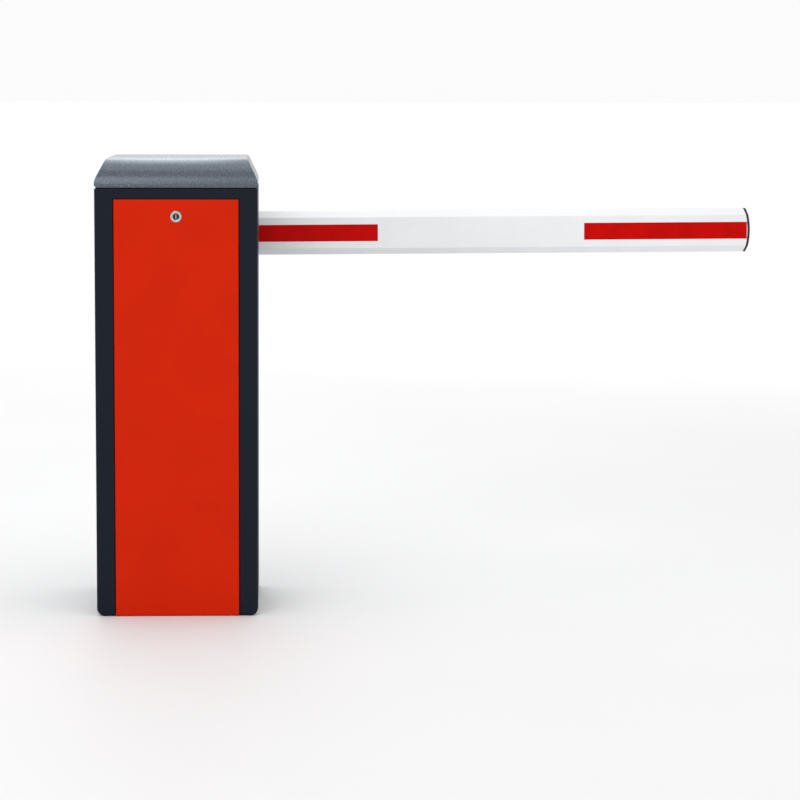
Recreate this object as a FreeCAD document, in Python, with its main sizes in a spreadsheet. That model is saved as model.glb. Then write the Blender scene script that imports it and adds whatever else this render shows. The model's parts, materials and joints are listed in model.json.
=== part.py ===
import FreeCAD, Part
import os
import re

import Sketcher
from FreeCAD import Placement, Rotation, Vector

# A parking barrier gate: a folded steel cabinet with a lift-off front door and a curved cover, and a
# boom of octagonal tube on a shaft through the cabinet's back wall. Inside, a worm gear motor turns a
# crank, and a rod carries the crank's turn up to a rocker on the boom's shaft. Springs on the rocker's
# other arm balance the boom.
# Millimetres. +X points along the lowered boom, +Y to the boom's side of the cabinet, +Z up. The origin
# is the centre of the cabinet's base, on the ground.

SIZES = {
    # Cabinet shell
    "overcut": 1, "cabinet_width": 350, "cabinet_depth": 300, "shell_height": 928, "shell_wall": 2,
    "foot_radius": 17, "corner_radius": 6, "rim_width": 20,
    # Cover
    "seam_gap": 3, "cover_rise": 62, "cover_wall": 2.5, "cover_front_radius": 70,
    "cover_front_run": 69.5,
    "cover_side_lift": 14.5, "cover_side_inset": 23.5, "cover_hem_radius": 7, "cover_bend_radius": 30,
    "cover_shoulder_radius": 8, "cover_flange": 18, "cover_screw_inset": 14, "gasket_inset": 3,
    "screw_radius": 3, "screw_head_radius": 5.5, "screw_head_height": 4, "screw_end": 2,
    # Door
    "door_side_margin": 41, "door_top_margin": 22, "door_bottom": 1, "door_gap": 1.5, "door_wall": 1.5,
    "door_proud": 0.5, "door_fold": 19, "door_edge_radius": 3, "door_lip": 15, "rebate_depth": 24,
    "seal_height": 2.6, "stiffener_height": 40, "stiffener_depth": 12, "stiffener_inset": 20,
    "sill_height": 18, "sill_foot": 8, "hook_width": 40, "hook_spacing": 160, "hook_lift": 22,
    "hook_drop": 10, "hook_reach": 32, "hook_wall": 2, "sill_end_gap": 1, "seal_overlap": 4,
    "seal_foot": 10,
    # Lock
    "lock_drop": 37, "lock_flange_radius": 12.5, "lock_radius": 10, "lock_length": 24,
    "lock_nut_width": 26, "lock_nut_height": 5, "barrel_radius": 7, "slot_width": 2.4,
    "slot_length": 9, "slot_depth": 8, "cam_width": 14, "cam_edge": 2, "cam_length": 32,
    "cam_wall": 2.5, "lock_hole_gap": 0.2, "lock_flange": 2.5, "barrel_face": 2, "barrel_end": 2,
    # Base
    "base_thickness": 8, "base_side_gap": 23, "base_back_gap": 8, "anchor_inset_x": 55,
    "anchor_inset_y": 50, "anchor_hole_radius": 7, "cable_hole_radius": 40, "cable_radius": 31,
    "grommet_lip": 6, "grommet_height": 5, "base_front_gap": 1,
    # Mechanism frame
    "frame_depth": 108, "frame_wall": 5, "frame_side_gap": 23, "frame_bottom": 240, "frame_rise": 85,
    "frame_hole_radius": 24,
    # Boom shaft and its bearings
    "shaft_drop": 118, "shaft_radius": 17.5, "running_gap": 0.05, "bearing_flange_radius": 49,
    "bearing_flange": 6, "bearing_boss_radius": 32, "bearing_length": 18, "bearing_spigot_radius": 29.5,
    "bearing_bolt_circle": 40, "bolt_radius": 4, "bolt_head_width": 13, "bolt_head_height": 5.5,
    "spigot_gap": 0.5, "boss_rise": 4, "rear_head_height": 3, "shaft_end": 6,
    # Rocker, crank and rod
    "rocker_radius": 80, "rocker_angle": 45, "arm_half_width": 14, "arm_thickness": 12, "arm_gap": 8,
    "rocker_hub_radius": 30, "hub_overhang": 6, "crank_height": 415, "crank_hub_radius": 24,
    "output_radius": 12.5, "rod_pin_radius": 6, "rod_gap": 3, "rod_thickness": 12, "eye_radius": 14,
    "rod_radius": 8, "rod_stud_radius": 5, "rod_end_length": 50,
    "rod_nut_width": 18, "rod_nut_height": 6, "pin_head_radius": 10, "pin_head": 3, "open_gap": 0.3,
    "pin_reach": 1, "thread_depth": 20, "eye_root": 4,
    # Balance springs
    "spring_pin_radius": 8, "spring_radius": 19, "spring_wire": 4.5, "spring_spacing": 42,
    "spring_clear": 3, "spring_hook": 40, "spring_anchor_z": 306, "bracket_thickness": 8,
    "bracket_z": 262, "bracket_width": 80, "tension_bolt_radius": 6, "tension_nut_width": 19,
    "tension_nut_height": 10, "hook_gap": 0.4, "spring_pin_reach": 4, "spring_head_radius": 12,
    "bracket_rise": 40, "tension_bolt_tail": 24, "tension_eye_radius": 10, "tension_eye_hole": 5,
    "tension_eye_half": 4, "tension_eye_drop": 10, "tension_hole_drop": 8,
    # Buffers and limit switches
    "buffer_radius": 12, "buffer_along": 56, "buffer_gap": 0.4, "buffer_front_gap": 4,
    "cam_disc_most": 29, "cam_disc_clear": 1, "cam_disc": 8, "cam_flat": 22, "switch_width": 20,
    "switch_depth": 14,
    "switch_height": 36, "switch_gap": 2, "roller_radius": 3.5, "switch_plate": 3, "cam_disc_gap": 2,
    "switch_forward": 3, "roller_bite": 1,
    # Worm gearbox and motor
    "gearbox_depth": 84, "gearbox_wall": 6, "gearbox_half_height": 60, "wheel_radius": 40,
    "wheel_width": 16, "worm_radius": 14, "worm_length": 60, "mesh_gap": 0.4, "gear_clear": 5,
    "worm_shaft_radius": 8, "motor_radius": 42, "motor_length": 170, "motor_wall": 8,
    "motor_bell": 20, "rotor_gap": 4, "rotor_length": 110, "handwheel_radius": 36,
    "handwheel_height": 16, "handwheel_gap": 10, "wiring_box_width": 40, "wiring_box_height": 70,
    "wiring_box_depth": 28, "wiring_sink": 6, "worm_shift": 3, "worm_end_gap": 1, "bell_step": 3,
    "gearbox_bolt_inset": 8, "gearbox_head_height": 4.5, "journal_radius": 9.5, "journal_inset": 8,
    "journal_reach": 4,
    # Boom and its clamp
    "hub_gap": 2, "hub_radius": 55, "hub_thickness": 14, "clamp_thickness": 8, "clamp_half_length": 85,
    "clamp_bolt_gap": 13, "clamp_edge": 14, "clamp_bolt_x": 62, "clamp_bolt_radius": 6,
    "clamp_bolt_head": 19, "clamp_head_height": 7.5, "boom_height": 100, "boom_depth": 45,
    "boom_chamfer": 14.5, "boom_wall": 2.5, "boom_rise": 0.4, "boom_tail": 110, "boom_reach": 1301,
    "tip_radius": 160, "tip_cap": 5, "tail_cap": 6, "cap_plug": 30, "tape_height": 38.5,
    "tape_thickness": 0.3, "tape_one_start": 140, "tape_one_end": 448, "tape_two_start": 923,
    "tape_two_end": 1299,
    # Control box
    "control_width": 60, "control_depth": 120, "control_gap": 5, "control_bottom": 400,
    "control_height": 260, "control_wall": 3, "lid_thickness": 4, "board_thickness": 2, "board_gap": 10,
    "transformer_width": 46, "transformer_depth": 50, "transformer_height": 56,
    "transformer_margin": 3, "board_margin": 1, "board_foot": 10, "board_head": 4,
    "terminal_height": 14, "terminal_depth": 12, "terminal_margin": 4, "terminal_foot": 14,
}

PLACES = {
    "half_width": "cabinet_width / 2",
    "inner_half": "half_width - shell_wall",
    "front": "-cabinet_depth / 2",
    "back": "cabinet_depth / 2",
    "inner_back": "back - shell_wall",
    "web_front": "inner_back - frame_depth",
    "web_back": "web_front + frame_wall",
    "cover_z": "shell_height + seam_gap",
    "cover_top": "cover_z + cover_rise",
    "door_half": "half_width - door_side_margin",
    "door_top": "shell_height - door_top_margin",
    "door_front": "front - door_proud",
    "door_back": "door_front + door_fold",
    "rebate_half": "door_half + door_gap",
    "rebate_top": "door_top + door_gap",
    "rebate_back": "front + rebate_depth",
    "lip_front": "rebate_back - shell_wall",
    "sheet_back": "door_front + door_wall",
    "cam_front": "rebate_back + door_gap",
    "cam_back": "cam_front + cam_wall",
    "lock_z": "door_top - lock_drop",
    "sill_back": "rebate_back + sill_foot",
    "floor_top": "shell_wall + base_thickness",
    "anchor_x": "half_width - anchor_inset_x",
    "anchor_y": "back - anchor_inset_y",
    "shaft_z": "shell_height - shaft_drop",
    "arm_x": "rocker_radius * cos(rocker_angle)",
    "arm_z": "rocker_radius * sin(rocker_angle)",
    "rocker_back": "web_front - arm_gap",
    "rocker_front": "rocker_back - arm_thickness",
    "rod_back": "rocker_front - rod_gap",
    "rod_front": "rod_back - rod_thickness",
    "rod_y": "rod_front + rod_thickness / 2",
    "rod_top": "shaft_z - arm_z",
    "rod_bottom": "crank_height - arm_z",
    "spring_one": "rocker_front - spring_clear - spring_radius",
    "spring_two": "spring_one - spring_spacing",
    "spring_top": "shaft_z + arm_z",
    "spring_pin_front": "spring_two - spring_wire - spring_pin_reach",
    "cam_disc_radius": "min(cam_disc_most; arm_x - spring_radius - cam_disc_clear)",
    "cam_disc_back": "rocker_front - hub_overhang - cam_disc_gap",
    "cam_disc_front": "cam_disc_back - cam_disc",
    "rod_pin_front": "rod_front - pin_reach",
    "gearbox_back": "web_back + gearbox_depth",
    "worm_x": "wheel_radius + worm_radius",
    "worm_y": "web_back + gearbox_depth / 2 + worm_shift",
    "gearbox_low_x": "-wheel_radius - gear_clear - gearbox_wall",
    "gearbox_high_x": "worm_x + worm_radius + gear_clear + gearbox_wall",
    "gearbox_low_z": "crank_height - gearbox_half_height",
    "gearbox_high_z": "crank_height + gearbox_half_height",
    "motor_low": "gearbox_low_z - motor_length",
    "rotor_radius": "motor_radius - motor_wall - rotor_gap",
    "bell_low": "motor_low - motor_bell",
    "handwheel_high": "bell_low - handwheel_gap",
    "handwheel_low": "handwheel_high - handwheel_height",
    "hub_front": "back + bearing_flange + boss_rise + hub_gap",
    "hub_back": "hub_front + hub_thickness",
    "boom_front": "hub_back + clamp_thickness",
    "boom_y": "boom_front + boom_depth / 2",
    "boom_back": "boom_front + boom_depth",
    "clamp_back": "boom_back + clamp_thickness",
    "clamp_bolt_z": "boom_height / 2 + clamp_bolt_gap",
    "clamp_half_height": "clamp_bolt_z + clamp_edge",
    "control_x": "control_width - inner_half",
    "control_back": "web_front - control_gap",
    "control_front": "control_back - control_depth",
    "control_top": "control_bottom + control_height",
    "board_back": "control_back - control_wall - board_gap",
    "transformer_top": "control_bottom + control_wall + transformer_height",
    "switch_bottom": "shaft_z + cam_disc_radius + 2 * roller_radius",
    "switch_top": "switch_bottom + switch_height",
    "switch_front": "cam_disc_front - switch_forward",
}

DOC = FreeCAD.newDocument("ParkingBarrier")
ORIENTATION = {
    "X": Rotation(Vector(0, 1, 0), 90),
    "Y": Rotation(Vector(1, 0, 0), -90),
    "Z": Rotation(),
}
NODES = []


def write_sizes():
    """Write every driving size into the sheet, one aliased cell each."""
    sheet = DOC.addObject("Spreadsheet::Sheet", "Sizes")
    for row, (word, number) in enumerate(SIZES.items(), start=1):
        sheet.set(f"A{row}", word)
        sheet.set(f"B{row}", str(number))
        sheet.setAlias(f"B{row}", word)
    DOC.recompute()
    return sheet


def linked(text):
    """Write places out in full and point each size at its cell."""
    def word(match):
        name = match.group()
        if name in PLACES:
            return f"({linked(PLACES[name])})"
        return f"Sizes.{name}" if name in SIZES else name
    return re.sub(r"[a-z][a-z_0-9]*", word, str(text))


def value(text):
    """Return the number that an expression of sizes and places comes to."""
    return float(SHEET.evalExpression(linked(text)))


def bind(item, **expressions):
    """Bind an object's properties to expressions of sizes and places."""
    for name, text in expressions.items():
        item.setExpression(name, linked(text))


def move(item, x=0, y=0, z=0):
    """Bind an object's place."""
    for axis, text in zip("xyz", (x, y, z)):
        item.setExpression(f"Placement.Base.{axis}", linked(text))


def box(name, x, y, z):
    """Add a box between pairs of low and high expressions."""
    item = DOC.addObject("Part::Box", name)
    spans = [f"({high}) - ({low})" for low, high in (x, y, z)]
    bind(item, Length=spans[0], Width=spans[1], Height=spans[2])
    move(item, x[0], y[0], z[0])
    return item


def along(item, axis, low, at):
    """Turn an object's own Z to an axis and bind its foot; at gives the other two coordinates."""
    item.Placement = Placement(Vector(), ORIENTATION[axis])
    first, second = at
    move(item, *{"X": (low, first, second), "Y": (first, low, second), "Z": (first, second, low)}[axis])
    return item


def rod(name, axis, radius, low, high, at):
    """Add a cylinder along an axis, from low to high."""
    item = DOC.addObject("Part::Cylinder", name)
    bind(item, Radius=radius, Height=f"({high}) - ({low})")
    return along(item, axis, low, at)


def hexagon(name, axis, width, low, high, at):
    """Add a hexagonal prism along an axis; width is across its flats."""
    item = DOC.addObject("Part::Prism", name)
    item.Polygon = 6
    bind(item, Circumradius=f"({width}) / sqrt(3)", Height=f"({high}) - ({low})")
    return along(item, axis, low, at)


def fuse(name, *parts):
    """Join objects into one."""
    item = DOC.addObject("Part::MultiFuse", name)
    item.Shapes = list(parts)
    item.Refine = True
    return item


def cut(name, base, *tools):
    """Take one or more objects away from another."""
    item = DOC.addObject("Part::Cut", name)
    item.Base = base
    item.Tool = tools[0] if len(tools) == 1 else fuse(f"{name}_tools", *tools)
    item.Refine = True
    return item


def common(name, first, second):
    """Keep what two objects share."""
    item = DOC.addObject("Part::Common", name)
    item.Base = first
    item.Tool = second
    return item


def group(name, *solids):
    """Keep separate solids together in one sub-part."""
    item = DOC.addObject("Part::Compound", name)
    item.Links = list(solids)
    return item


def node(item):
    """List a finished sub-part for writing; its label is its name."""
    NODES.append(item)
    return item


def ring(name, axis, outer, inner, low, high, at):
    """Add a tube along an axis."""
    hole = rod(f"{name}_hole", axis, inner, f"({low}) - overcut", f"({high}) + overcut", at)
    return cut(name, rod(f"{name}_body", axis, outer, low, high, at), hole)


def sketch_pad(name, role, points, length):
    """Pad a closed outline; each point is a pair of expressions on the body's own plane."""
    body = DOC.addObject("PartDesign::Body", name)
    sketch = body.newObject("Sketcher::SketchObject", f"{name}_outline")
    plane = [item for item in body.Origin.OriginFeatures if item.Role == role][0]
    sketch.AttachmentSupport = [(plane, "")]
    sketch.MapMode = "FlatFace"
    corners = [Vector(value(first), value(second), 0) for first, second in points]
    for start, end in zip(corners, corners[1:] + corners[:1]):
        sketch.addGeometry(Part.LineSegment(start, end), False)
    count = len(corners)
    for index in range(count):
        sketch.addConstraint(Sketcher.Constraint("Coincident", index, 2, (index + 1) % count, 1))
    for index, (corner, pair) in enumerate(zip(corners, points)):
        for kind, number, text in zip(("DistanceX", "DistanceY"), corner, pair):
            place = sketch.addConstraint(Sketcher.Constraint(kind, -1, 1, index, 1, number))
            sketch.setExpression(f"Constraints[{place}]", linked(text))
    pad = body.newObject("PartDesign::Pad", f"{name}_pad")
    pad.Profile = sketch
    bind(pad, Length=length)
    sketch.Visibility = False
    DOC.recompute()
    return body


def round_edges(body, name, radius, wanted):
    """Round the edges of a body's last feature whose middles pass a test."""
    base = body.Tip
    names = [f"Edge{index}" for index, edge in enumerate(base.Shape.Edges, start=1)
             if wanted(edge, edge.valueAt((edge.FirstParameter + edge.LastParameter) / 2))]
    if not names:
        raise RuntimeError(f"{body.Name}: no edge to round")
    fillet = body.newObject("PartDesign::Fillet", name)
    fillet.Base = (base, names)
    bind(fillet, Radius=radius)
    DOC.recompute()
    return fillet


def near(first, second):
    """Tell whether two lengths are the same."""
    return abs(first - second) < 0.01


# Cabinet

def shell_block(name, inset):
    """Add the cabinet's outer form, inset by a wall: rounded feet, rounded upright edges."""
    side = f"half_width - {inset}"
    outline = [(f"-({side})", inset), (side, inset), (side, "shell_height"), (f"-({side})", "shell_height")]
    depth = f"cabinet_depth - 2 * {inset}"
    body = sketch_pad(name, "XZ_Plane", outline, depth)
    low = value(inset)
    high = value("shell_height")
    length = value(depth)
    round_edges(body, f"{name}_feet", f"foot_radius - {inset}",
                lambda edge, middle: near(middle.z, low) and near(edge.Length, length))
    round_edges(body, f"{name}_outline_edges", f"corner_radius - {inset}",
                lambda edge,
                middle: (near(middle.y, 0) or near(middle.y, -length)) and middle.z < high - 0.01)
    move(body, y=f"back - {inset}")
    return body


def shell_whole():
    """Add the cabinet's folded sheet as one form, with its doorway and holes, still without its rim."""
    outer = shell_block("shell_outer", "0")
    inner = shell_block("shell_inner", "shell_wall")
    doorway = box("shell_doorway", ("-(rebate_half)", "rebate_half"), ("front - overcut", "rebate_back"),
                  ("-overcut", "rebate_top"))
    shaft_hole = rod("shell_shaft_hole", "Y", "bearing_spigot_radius + spigot_gap", "inner_back - overcut",
                     "back + overcut", ("0", "shaft_z"))
    cable = rod("shell_cable_hole", "Z", "cable_hole_radius", "-overcut", "shell_wall + overcut", ("0", "0"))
    anchors = anchor_holes("shell", "anchor_hole_radius", "-overcut", "shell_wall + overcut")
    return cut("shell_whole", outer, inner, doorway, shaft_hole, cable, *anchors)


def shell_slice(name, whole, low, high):
    """Return the part of the whole shell between two depths."""
    slab = box(f"{name}_slab", ("-cabinet_width", "cabinet_width"), (low, high),
               ("-overcut", "shell_height + overcut"))
    return common(name, whole, slab)


def shell_sheets():
    """Add the shell's sheets: the two sides, the floor with its rounded feet, the back, and the front."""
    whole = shell_whole()
    wrap = shell_slice("shell_wrap", whole, "front + corner_radius", "back - corner_radius")
    depths = ("front", "back")
    sides = [common(f"side_wall_{index}", wrap, box(f"side_wall_slab_{index}", span, depths,
                                                    ("foot_radius", "shell_height")))
             for index, span in enumerate((("-(half_width)", "0"), ("0", "half_width")), start=1)]
    node(group("side_walls", *sides))
    foot = box("floor_slab", ("-(half_width)", "half_width"), depths, ("0", "foot_radius"))
    node(common("floor_pan", wrap, foot))
    node(shell_slice("back_panel", whole, "back - corner_radius", "back + overcut"))
    face = shell_slice("front_face", whole, "front - overcut", "front + corner_radius")
    node(fuse("door_frame", face, door_rebate()))


def shell_rim():
    """Add the flange round the shell's mouth, which the cover is screwed to."""
    corners = [rod(f"rim_corner_{index}", "Z", "corner_radius - shell_wall", "shell_height - shell_wall",
                   "shell_height", place) for index, place in enumerate(rim_corner_places(), start=1)]
    long_slab = box("rim_long_slab", ("corner_radius - half_width", "half_width - corner_radius"),
                    ("front + shell_wall", "inner_back"), ("shell_height - shell_wall", "shell_height"))
    wide_slab = box("rim_wide_slab", ("-(inner_half)", "inner_half"),
                    ("front + corner_radius", "back - corner_radius"),
                    ("shell_height - shell_wall", "shell_height"))
    mouth = box("rim_mouth", ("rim_width - inner_half", "inner_half - rim_width"),
                ("front + shell_wall + rim_width", "inner_back - rim_width"),
                ("shell_height - 2 * shell_wall", "shell_height + overcut"))
    screws = cover_screw_rods("rim_screw_hole", "screw_radius", "shell_height - 2 * shell_wall",
                              "shell_height + overcut")
    return node(cut("shell_rim", fuse("rim_outer", long_slab, wide_slab, *corners), mouth, *screws))


def rim_corner_places():
    """Return the centres of the shell's four rounded corners."""
    side = "half_width - corner_radius"
    end = "back - corner_radius"
    return [(f"{a}({side})", f"{b}({end})") for a in ("-", "") for b in ("-", "")]


def anchor_holes(name, radius, low, high):
    """Return four upright rods at the anchor bolts' places."""
    places = [("-(anchor_x)", "-(anchor_y)"), ("anchor_x", "-(anchor_y)"),
              ("-(anchor_x)", "anchor_y"), ("anchor_x", "anchor_y")]
    return [rod(f"{name}_anchor_{index}", "Z", radius, low, high, place)
            for index, place in enumerate(places, start=1)]


def cover_screw_places():
    """Return the four places of the screws that hold the cover."""
    side = "half_width - cover_screw_inset"
    end = "back - cover_screw_inset"
    return [(f"{a}({side})", f"{b}({end})") for a in ("-", "") for b in ("-", "")]


def cover_screw_rods(name, radius, low, high):
    """Return an upright rod at each cover screw's place."""
    return [rod(f"{name}_{index}", "Z", radius, low, high, place)
            for index, place in enumerate(cover_screw_places(), start=1)]


def base_plate():
    """Add the plate that the anchor bolts hold down, with the hole for the cables."""
    side = "inner_half - base_side_gap"
    slab = box("base_slab", (f"-({side})", side),
               ("sill_back + base_front_gap", "inner_back - base_back_gap"),
               ("shell_wall", "floor_top"))
    cable = rod("base_cable_hole", "Z", "cable_hole_radius", "0", "floor_top + overcut", ("0", "0"))
    anchors = anchor_holes("base", "anchor_hole_radius", "0", "floor_top + overcut")
    return node(cut("base_plate", slab, cable, *anchors))


def cable_grommet():
    """Add the rubber sleeve in the cables' hole."""
    body = rod("grommet_body", "Z", "cable_hole_radius", "0", "floor_top", ("0", "0"))
    lip = rod("grommet_flange", "Z", "cable_hole_radius + grommet_lip", "floor_top",
              "floor_top + grommet_height", ("0", "0"))
    hole = rod("grommet_hole", "Z", "cable_radius", "-overcut", "floor_top + grommet_height + overcut",
               ("0", "0"))
    return node(cut("cable_grommet", fuse("grommet_outer", body, lip), hole))


def door_rebate():
    """Return the folded rebate that the door shuts into, open at the foot."""
    side = "rebate_half + shell_wall"
    outer = box("rebate_outer", (f"-({side})", side), ("front + shell_wall", "rebate_back"),
                ("corner_radius", "rebate_top + shell_wall"))
    pocket = box("rebate_pocket", ("-(rebate_half)", "rebate_half"), ("front", "lip_front"),
                 ("0", "rebate_top"))
    opening = box("rebate_opening", ("door_lip - (rebate_half)", "rebate_half - door_lip"),
                  ("front", "rebate_back + overcut"), ("0", "rebate_top - door_lip"))
    return cut("door_rebate", outer, pocket, opening)


def door_sill():
    """Add the upstand that the door's hooks drop behind."""
    side = "rebate_half - door_lip - sill_end_gap"
    upstand = box("sill_upstand", (f"-({side})", side), ("rebate_back", "rebate_back + hook_wall"),
                  ("shell_wall", "shell_wall + sill_height"))
    foot = box("sill_plate", (f"-({side})", side), ("rebate_back", "sill_back"),
               ("shell_wall", "2 * shell_wall"))
    return node(fuse("door_sill", upstand, foot))


# Cover

def cover_block(name, inset, bottom):
    """Add the cover's form, inset by a wall: sloping sides, rounded shoulders and a curved front."""
    side = f"half_width - {inset}"
    top = f"cover_top - {inset}"
    bend = "cover_z + cover_side_lift"
    shoulder = f"half_width - cover_side_inset - {inset}"
    outline = [(f"-({side})", bottom), (side, bottom), (side, bend), (shoulder, top),
               (f"-({shoulder})", top), (f"-({side})", bend)]
    depth = f"cabinet_depth - 2 * {inset}"
    body = sketch_pad(f"{name}_profile", "XZ_Plane", outline, depth)
    levels = {"hem": (bottom, f"cover_hem_radius - {inset}"),
              "bend": (bend, f"cover_bend_radius - {inset}"),
              "shoulder": (top, f"cover_shoulder_radius - {inset}")}
    length = value(depth)
    for word, (level, radius) in levels.items():
        height = value(level)
        round_edges(body, f"{name}_{word}", radius,
                    lambda edge, middle: near(middle.z, height) and near(edge.Length, length))
    move(body, y=f"back - {inset}")
    curve = rod(f"{name}_curve", "X", f"cover_front_radius - {inset}", "-cabinet_width", "cabinet_width",
                ("front + cover_front_run", "cover_top - cover_front_radius"))
    rear = box(f"{name}_rear", ("-cabinet_width", "cabinet_width"),
               ("front + cover_front_run", "back + overcut"),
               ("0", "cover_top + overcut"))
    return common(name, body, fuse(f"{name}_sweep", curve, rear))


def top_cover():
    """Add the hollow cover, open underneath inside its flange."""
    outer = cover_block("cover_outer", "0", "cover_z")
    inner = cover_block("cover_inner", "cover_wall", "cover_z + cover_wall")
    opening = box("cover_opening", ("cover_flange - half_width", "half_width - cover_flange"),
                  ("front + cover_flange", "back - cover_flange"),
                  ("cover_z - overcut", "cover_z + 2 * cover_wall"))
    screws = cover_screw_rods("cover_screw_hole", "screw_radius", "cover_z - overcut",
                              "cover_z + 2 * cover_wall")
    return node(cut("top_cover", outer, inner, opening, *screws))


def cover_gasket():
    """Add the dark strip in the joint between shell and cover."""
    side = "half_width - gasket_inset"
    inside = "half_width - cover_flange"
    slab = box("gasket_slab", (f"-({side})", side), ("front + gasket_inset", "back - gasket_inset"),
               ("shell_height", "cover_z"))
    hole = box("gasket_opening", (f"-({inside})", inside), ("front + cover_flange", "back - cover_flange"),
               ("shell_height - overcut", "cover_z + overcut"))
    screws = cover_screw_rods("gasket_screw_hole", "screw_radius", "shell_height - overcut",
                              "cover_z + overcut")
    return node(cut("cover_gasket", slab, hole, *screws))


def cover_screws():
    """Add the four screws that come up through the rim into the cover's flange."""
    low = "shell_height - shell_wall"
    solids = []
    for index, place in enumerate(cover_screw_places(), start=1):
        shank = rod(f"cover_screw_shank_{index}", "Z", "screw_radius", low,
                    "cover_z + cover_wall + screw_end", place)
        head = rod(f"cover_screw_head_{index}", "Z", "screw_head_radius",
                   f"{low} - screw_head_height", low, place)
        solids.append(fuse(f"cover_screw_{index}", shank, head))
    return node(group("cover_screws", *solids))


# Door

def door_panel():
    """Add the door: a tray of sheet, its four sides folded back."""
    outline = [("-(door_half)", "door_bottom"), ("door_half", "door_bottom"),
               ("door_half", "door_top"), ("-(door_half)", "door_top")]
    tray = sketch_pad("door_tray", "XZ_Plane", outline, "door_fold")
    fold = value("door_fold")
    round_edges(tray, "door_front_edges", "door_edge_radius",
                lambda edge, middle: near(middle.y, -fold))
    move(tray, y="door_back")
    pocket = box("door_pocket", ("door_wall - door_half", "door_half - door_wall"),
                 ("door_front + door_wall", "door_back + overcut"),
                 ("door_bottom + door_wall", "door_top - door_wall"))
    hole = rod("door_lock_hole", "Y", "lock_radius + lock_hole_gap", "door_front - overcut",
               "door_front + door_wall + overcut", ("0", "lock_z"))
    return node(cut("door_panel", tray, pocket, hole))


def door_stiffeners():
    """Add the two channels across the door's inner face."""
    side = "door_half - stiffener_inset"
    solids = []
    for index, share in enumerate(("1", "2"), start=1):
        low = f"door_bottom + (door_top - door_bottom) * {share} / 3"
        body = box(f"stiffener_body_{index}", (f"-({side})", side),
                   ("sheet_back", "sheet_back + stiffener_depth"),
                   (low, f"{low} + stiffener_height"))
        groove = box(f"stiffener_groove_{index}", ("-cabinet_width", "cabinet_width"),
                     ("sheet_back + door_wall", "sheet_back + stiffener_depth + overcut"),
                     (f"{low} + door_wall", f"{low} + stiffener_height - door_wall"))
        solids.append(cut(f"stiffener_{index}", body, groove))
    return node(group("door_stiffeners", *solids))


def door_hooks():
    """Add the two hooks that drop behind the sill."""
    reach = "door_front + hook_reach"
    solids = []
    for index, centre in enumerate(("-hook_spacing / 2", "hook_spacing / 2"), start=1):
        span = (f"{centre} - hook_width / 2", f"{centre} + hook_width / 2")
        shelf = box(f"hook_shelf_{index}", span, ("sheet_back", f"{reach} + hook_wall"),
                    ("hook_lift + door_bottom", "hook_lift + door_bottom + hook_wall"))
        leg = box(f"hook_leg_{index}", span, (reach, f"{reach} + hook_wall"),
                  ("hook_lift + door_bottom + hook_wall - hook_drop", "hook_lift + door_bottom + hook_wall"))
        solids.append(fuse(f"hook_{index}", shelf, leg))
    return node(group("door_hooks", *solids))


def door_seal():
    """Add the foam strip round the door's folded edge, open at the foot."""
    inside = "door_half - door_lip + seal_overlap"
    slab = box("seal_slab", ("-(door_half)", "door_half"), ("door_back", "door_back + seal_height"),
               ("door_top - door_lip", "door_top"))
    sides = box("seal_sides", ("-(door_half)", "door_half"), ("door_back", "door_back + seal_height"),
                ("hook_lift + door_bottom + seal_foot", "door_top"))
    hole = box("seal_opening", (f"-({inside})", inside),
               ("door_back - overcut", "door_back + seal_height + overcut"),
               ("0", "door_top - door_lip + seal_overlap"))
    return node(cut("door_seal", fuse("seal_outer", slab, sides), hole))


# Lock

def lock_housing():
    """Add the lock's fixed body, its round flange and the nut behind the sheet."""
    place = ("0", "lock_z")
    flange = rod("lock_flange", "Y", "lock_flange_radius", "door_front - lock_flange", "door_front", place)
    body = rod("lock_body", "Y", "lock_radius", "door_front - lock_flange", "door_front + lock_length", place)
    nut = hexagon("lock_nut", "Y", "lock_nut_width", "sheet_back", "sheet_back + lock_nut_height", place)
    bore = rod("lock_bore", "Y", "barrel_radius + running_gap", "door_front - lock_flange - overcut",
               "door_front + lock_length + overcut", place)
    return node(cut("lock_housing", fuse("lock_outer", flange, body, nut), bore))


def lock_tang(name, low, high):
    """Return the flat-sided tang that the cam fits over, between two depths."""
    return box(name, ("-barrel_radius / 2", "barrel_radius / 2"), (low, high),
               ("lock_z - barrel_radius", "lock_z + barrel_radius"))


def lock_barrel():
    """Add the barrel that the key turns, with its slot in front and its tang behind."""
    place = ("0", "lock_z")
    face = "door_front - barrel_face"
    core = rod("barrel_core", "Y", "barrel_radius", face, "cam_back + barrel_end", place)
    slot = box("barrel_slot", ("-slot_width / 2", "slot_width / 2"),
               (f"{face} - overcut", f"{face} + slot_depth"),
               ("lock_z - slot_length / 2", "lock_z + slot_length / 2"))
    seat = rod("barrel_cam_seat", "Y", "barrel_radius + overcut", "cam_front", "cam_back", place)
    tang = lock_tang("barrel_tang", "cam_front - overcut", "cam_back + overcut")
    neck = cut("barrel_neck", seat, tang)
    return node(cut("lock_barrel", core, fuse("barrel_cuts", slot, neck)))


def lock_cam():
    """Add the cam, turned aside at rest so that the door is free."""
    half = "cam_width / 2 + cam_edge"
    plate = box("cam_plate", ("-barrel_radius - cam_edge", "cam_length"), ("cam_front", "cam_back"),
                (f"lock_z - ({half})", f"lock_z + {half}"))
    hole = lock_tang("cam_hole", "cam_front - overcut", "cam_back + overcut")
    return node(cut("lock_cam", plate, hole))


# Mechanism frame and bearings

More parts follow.
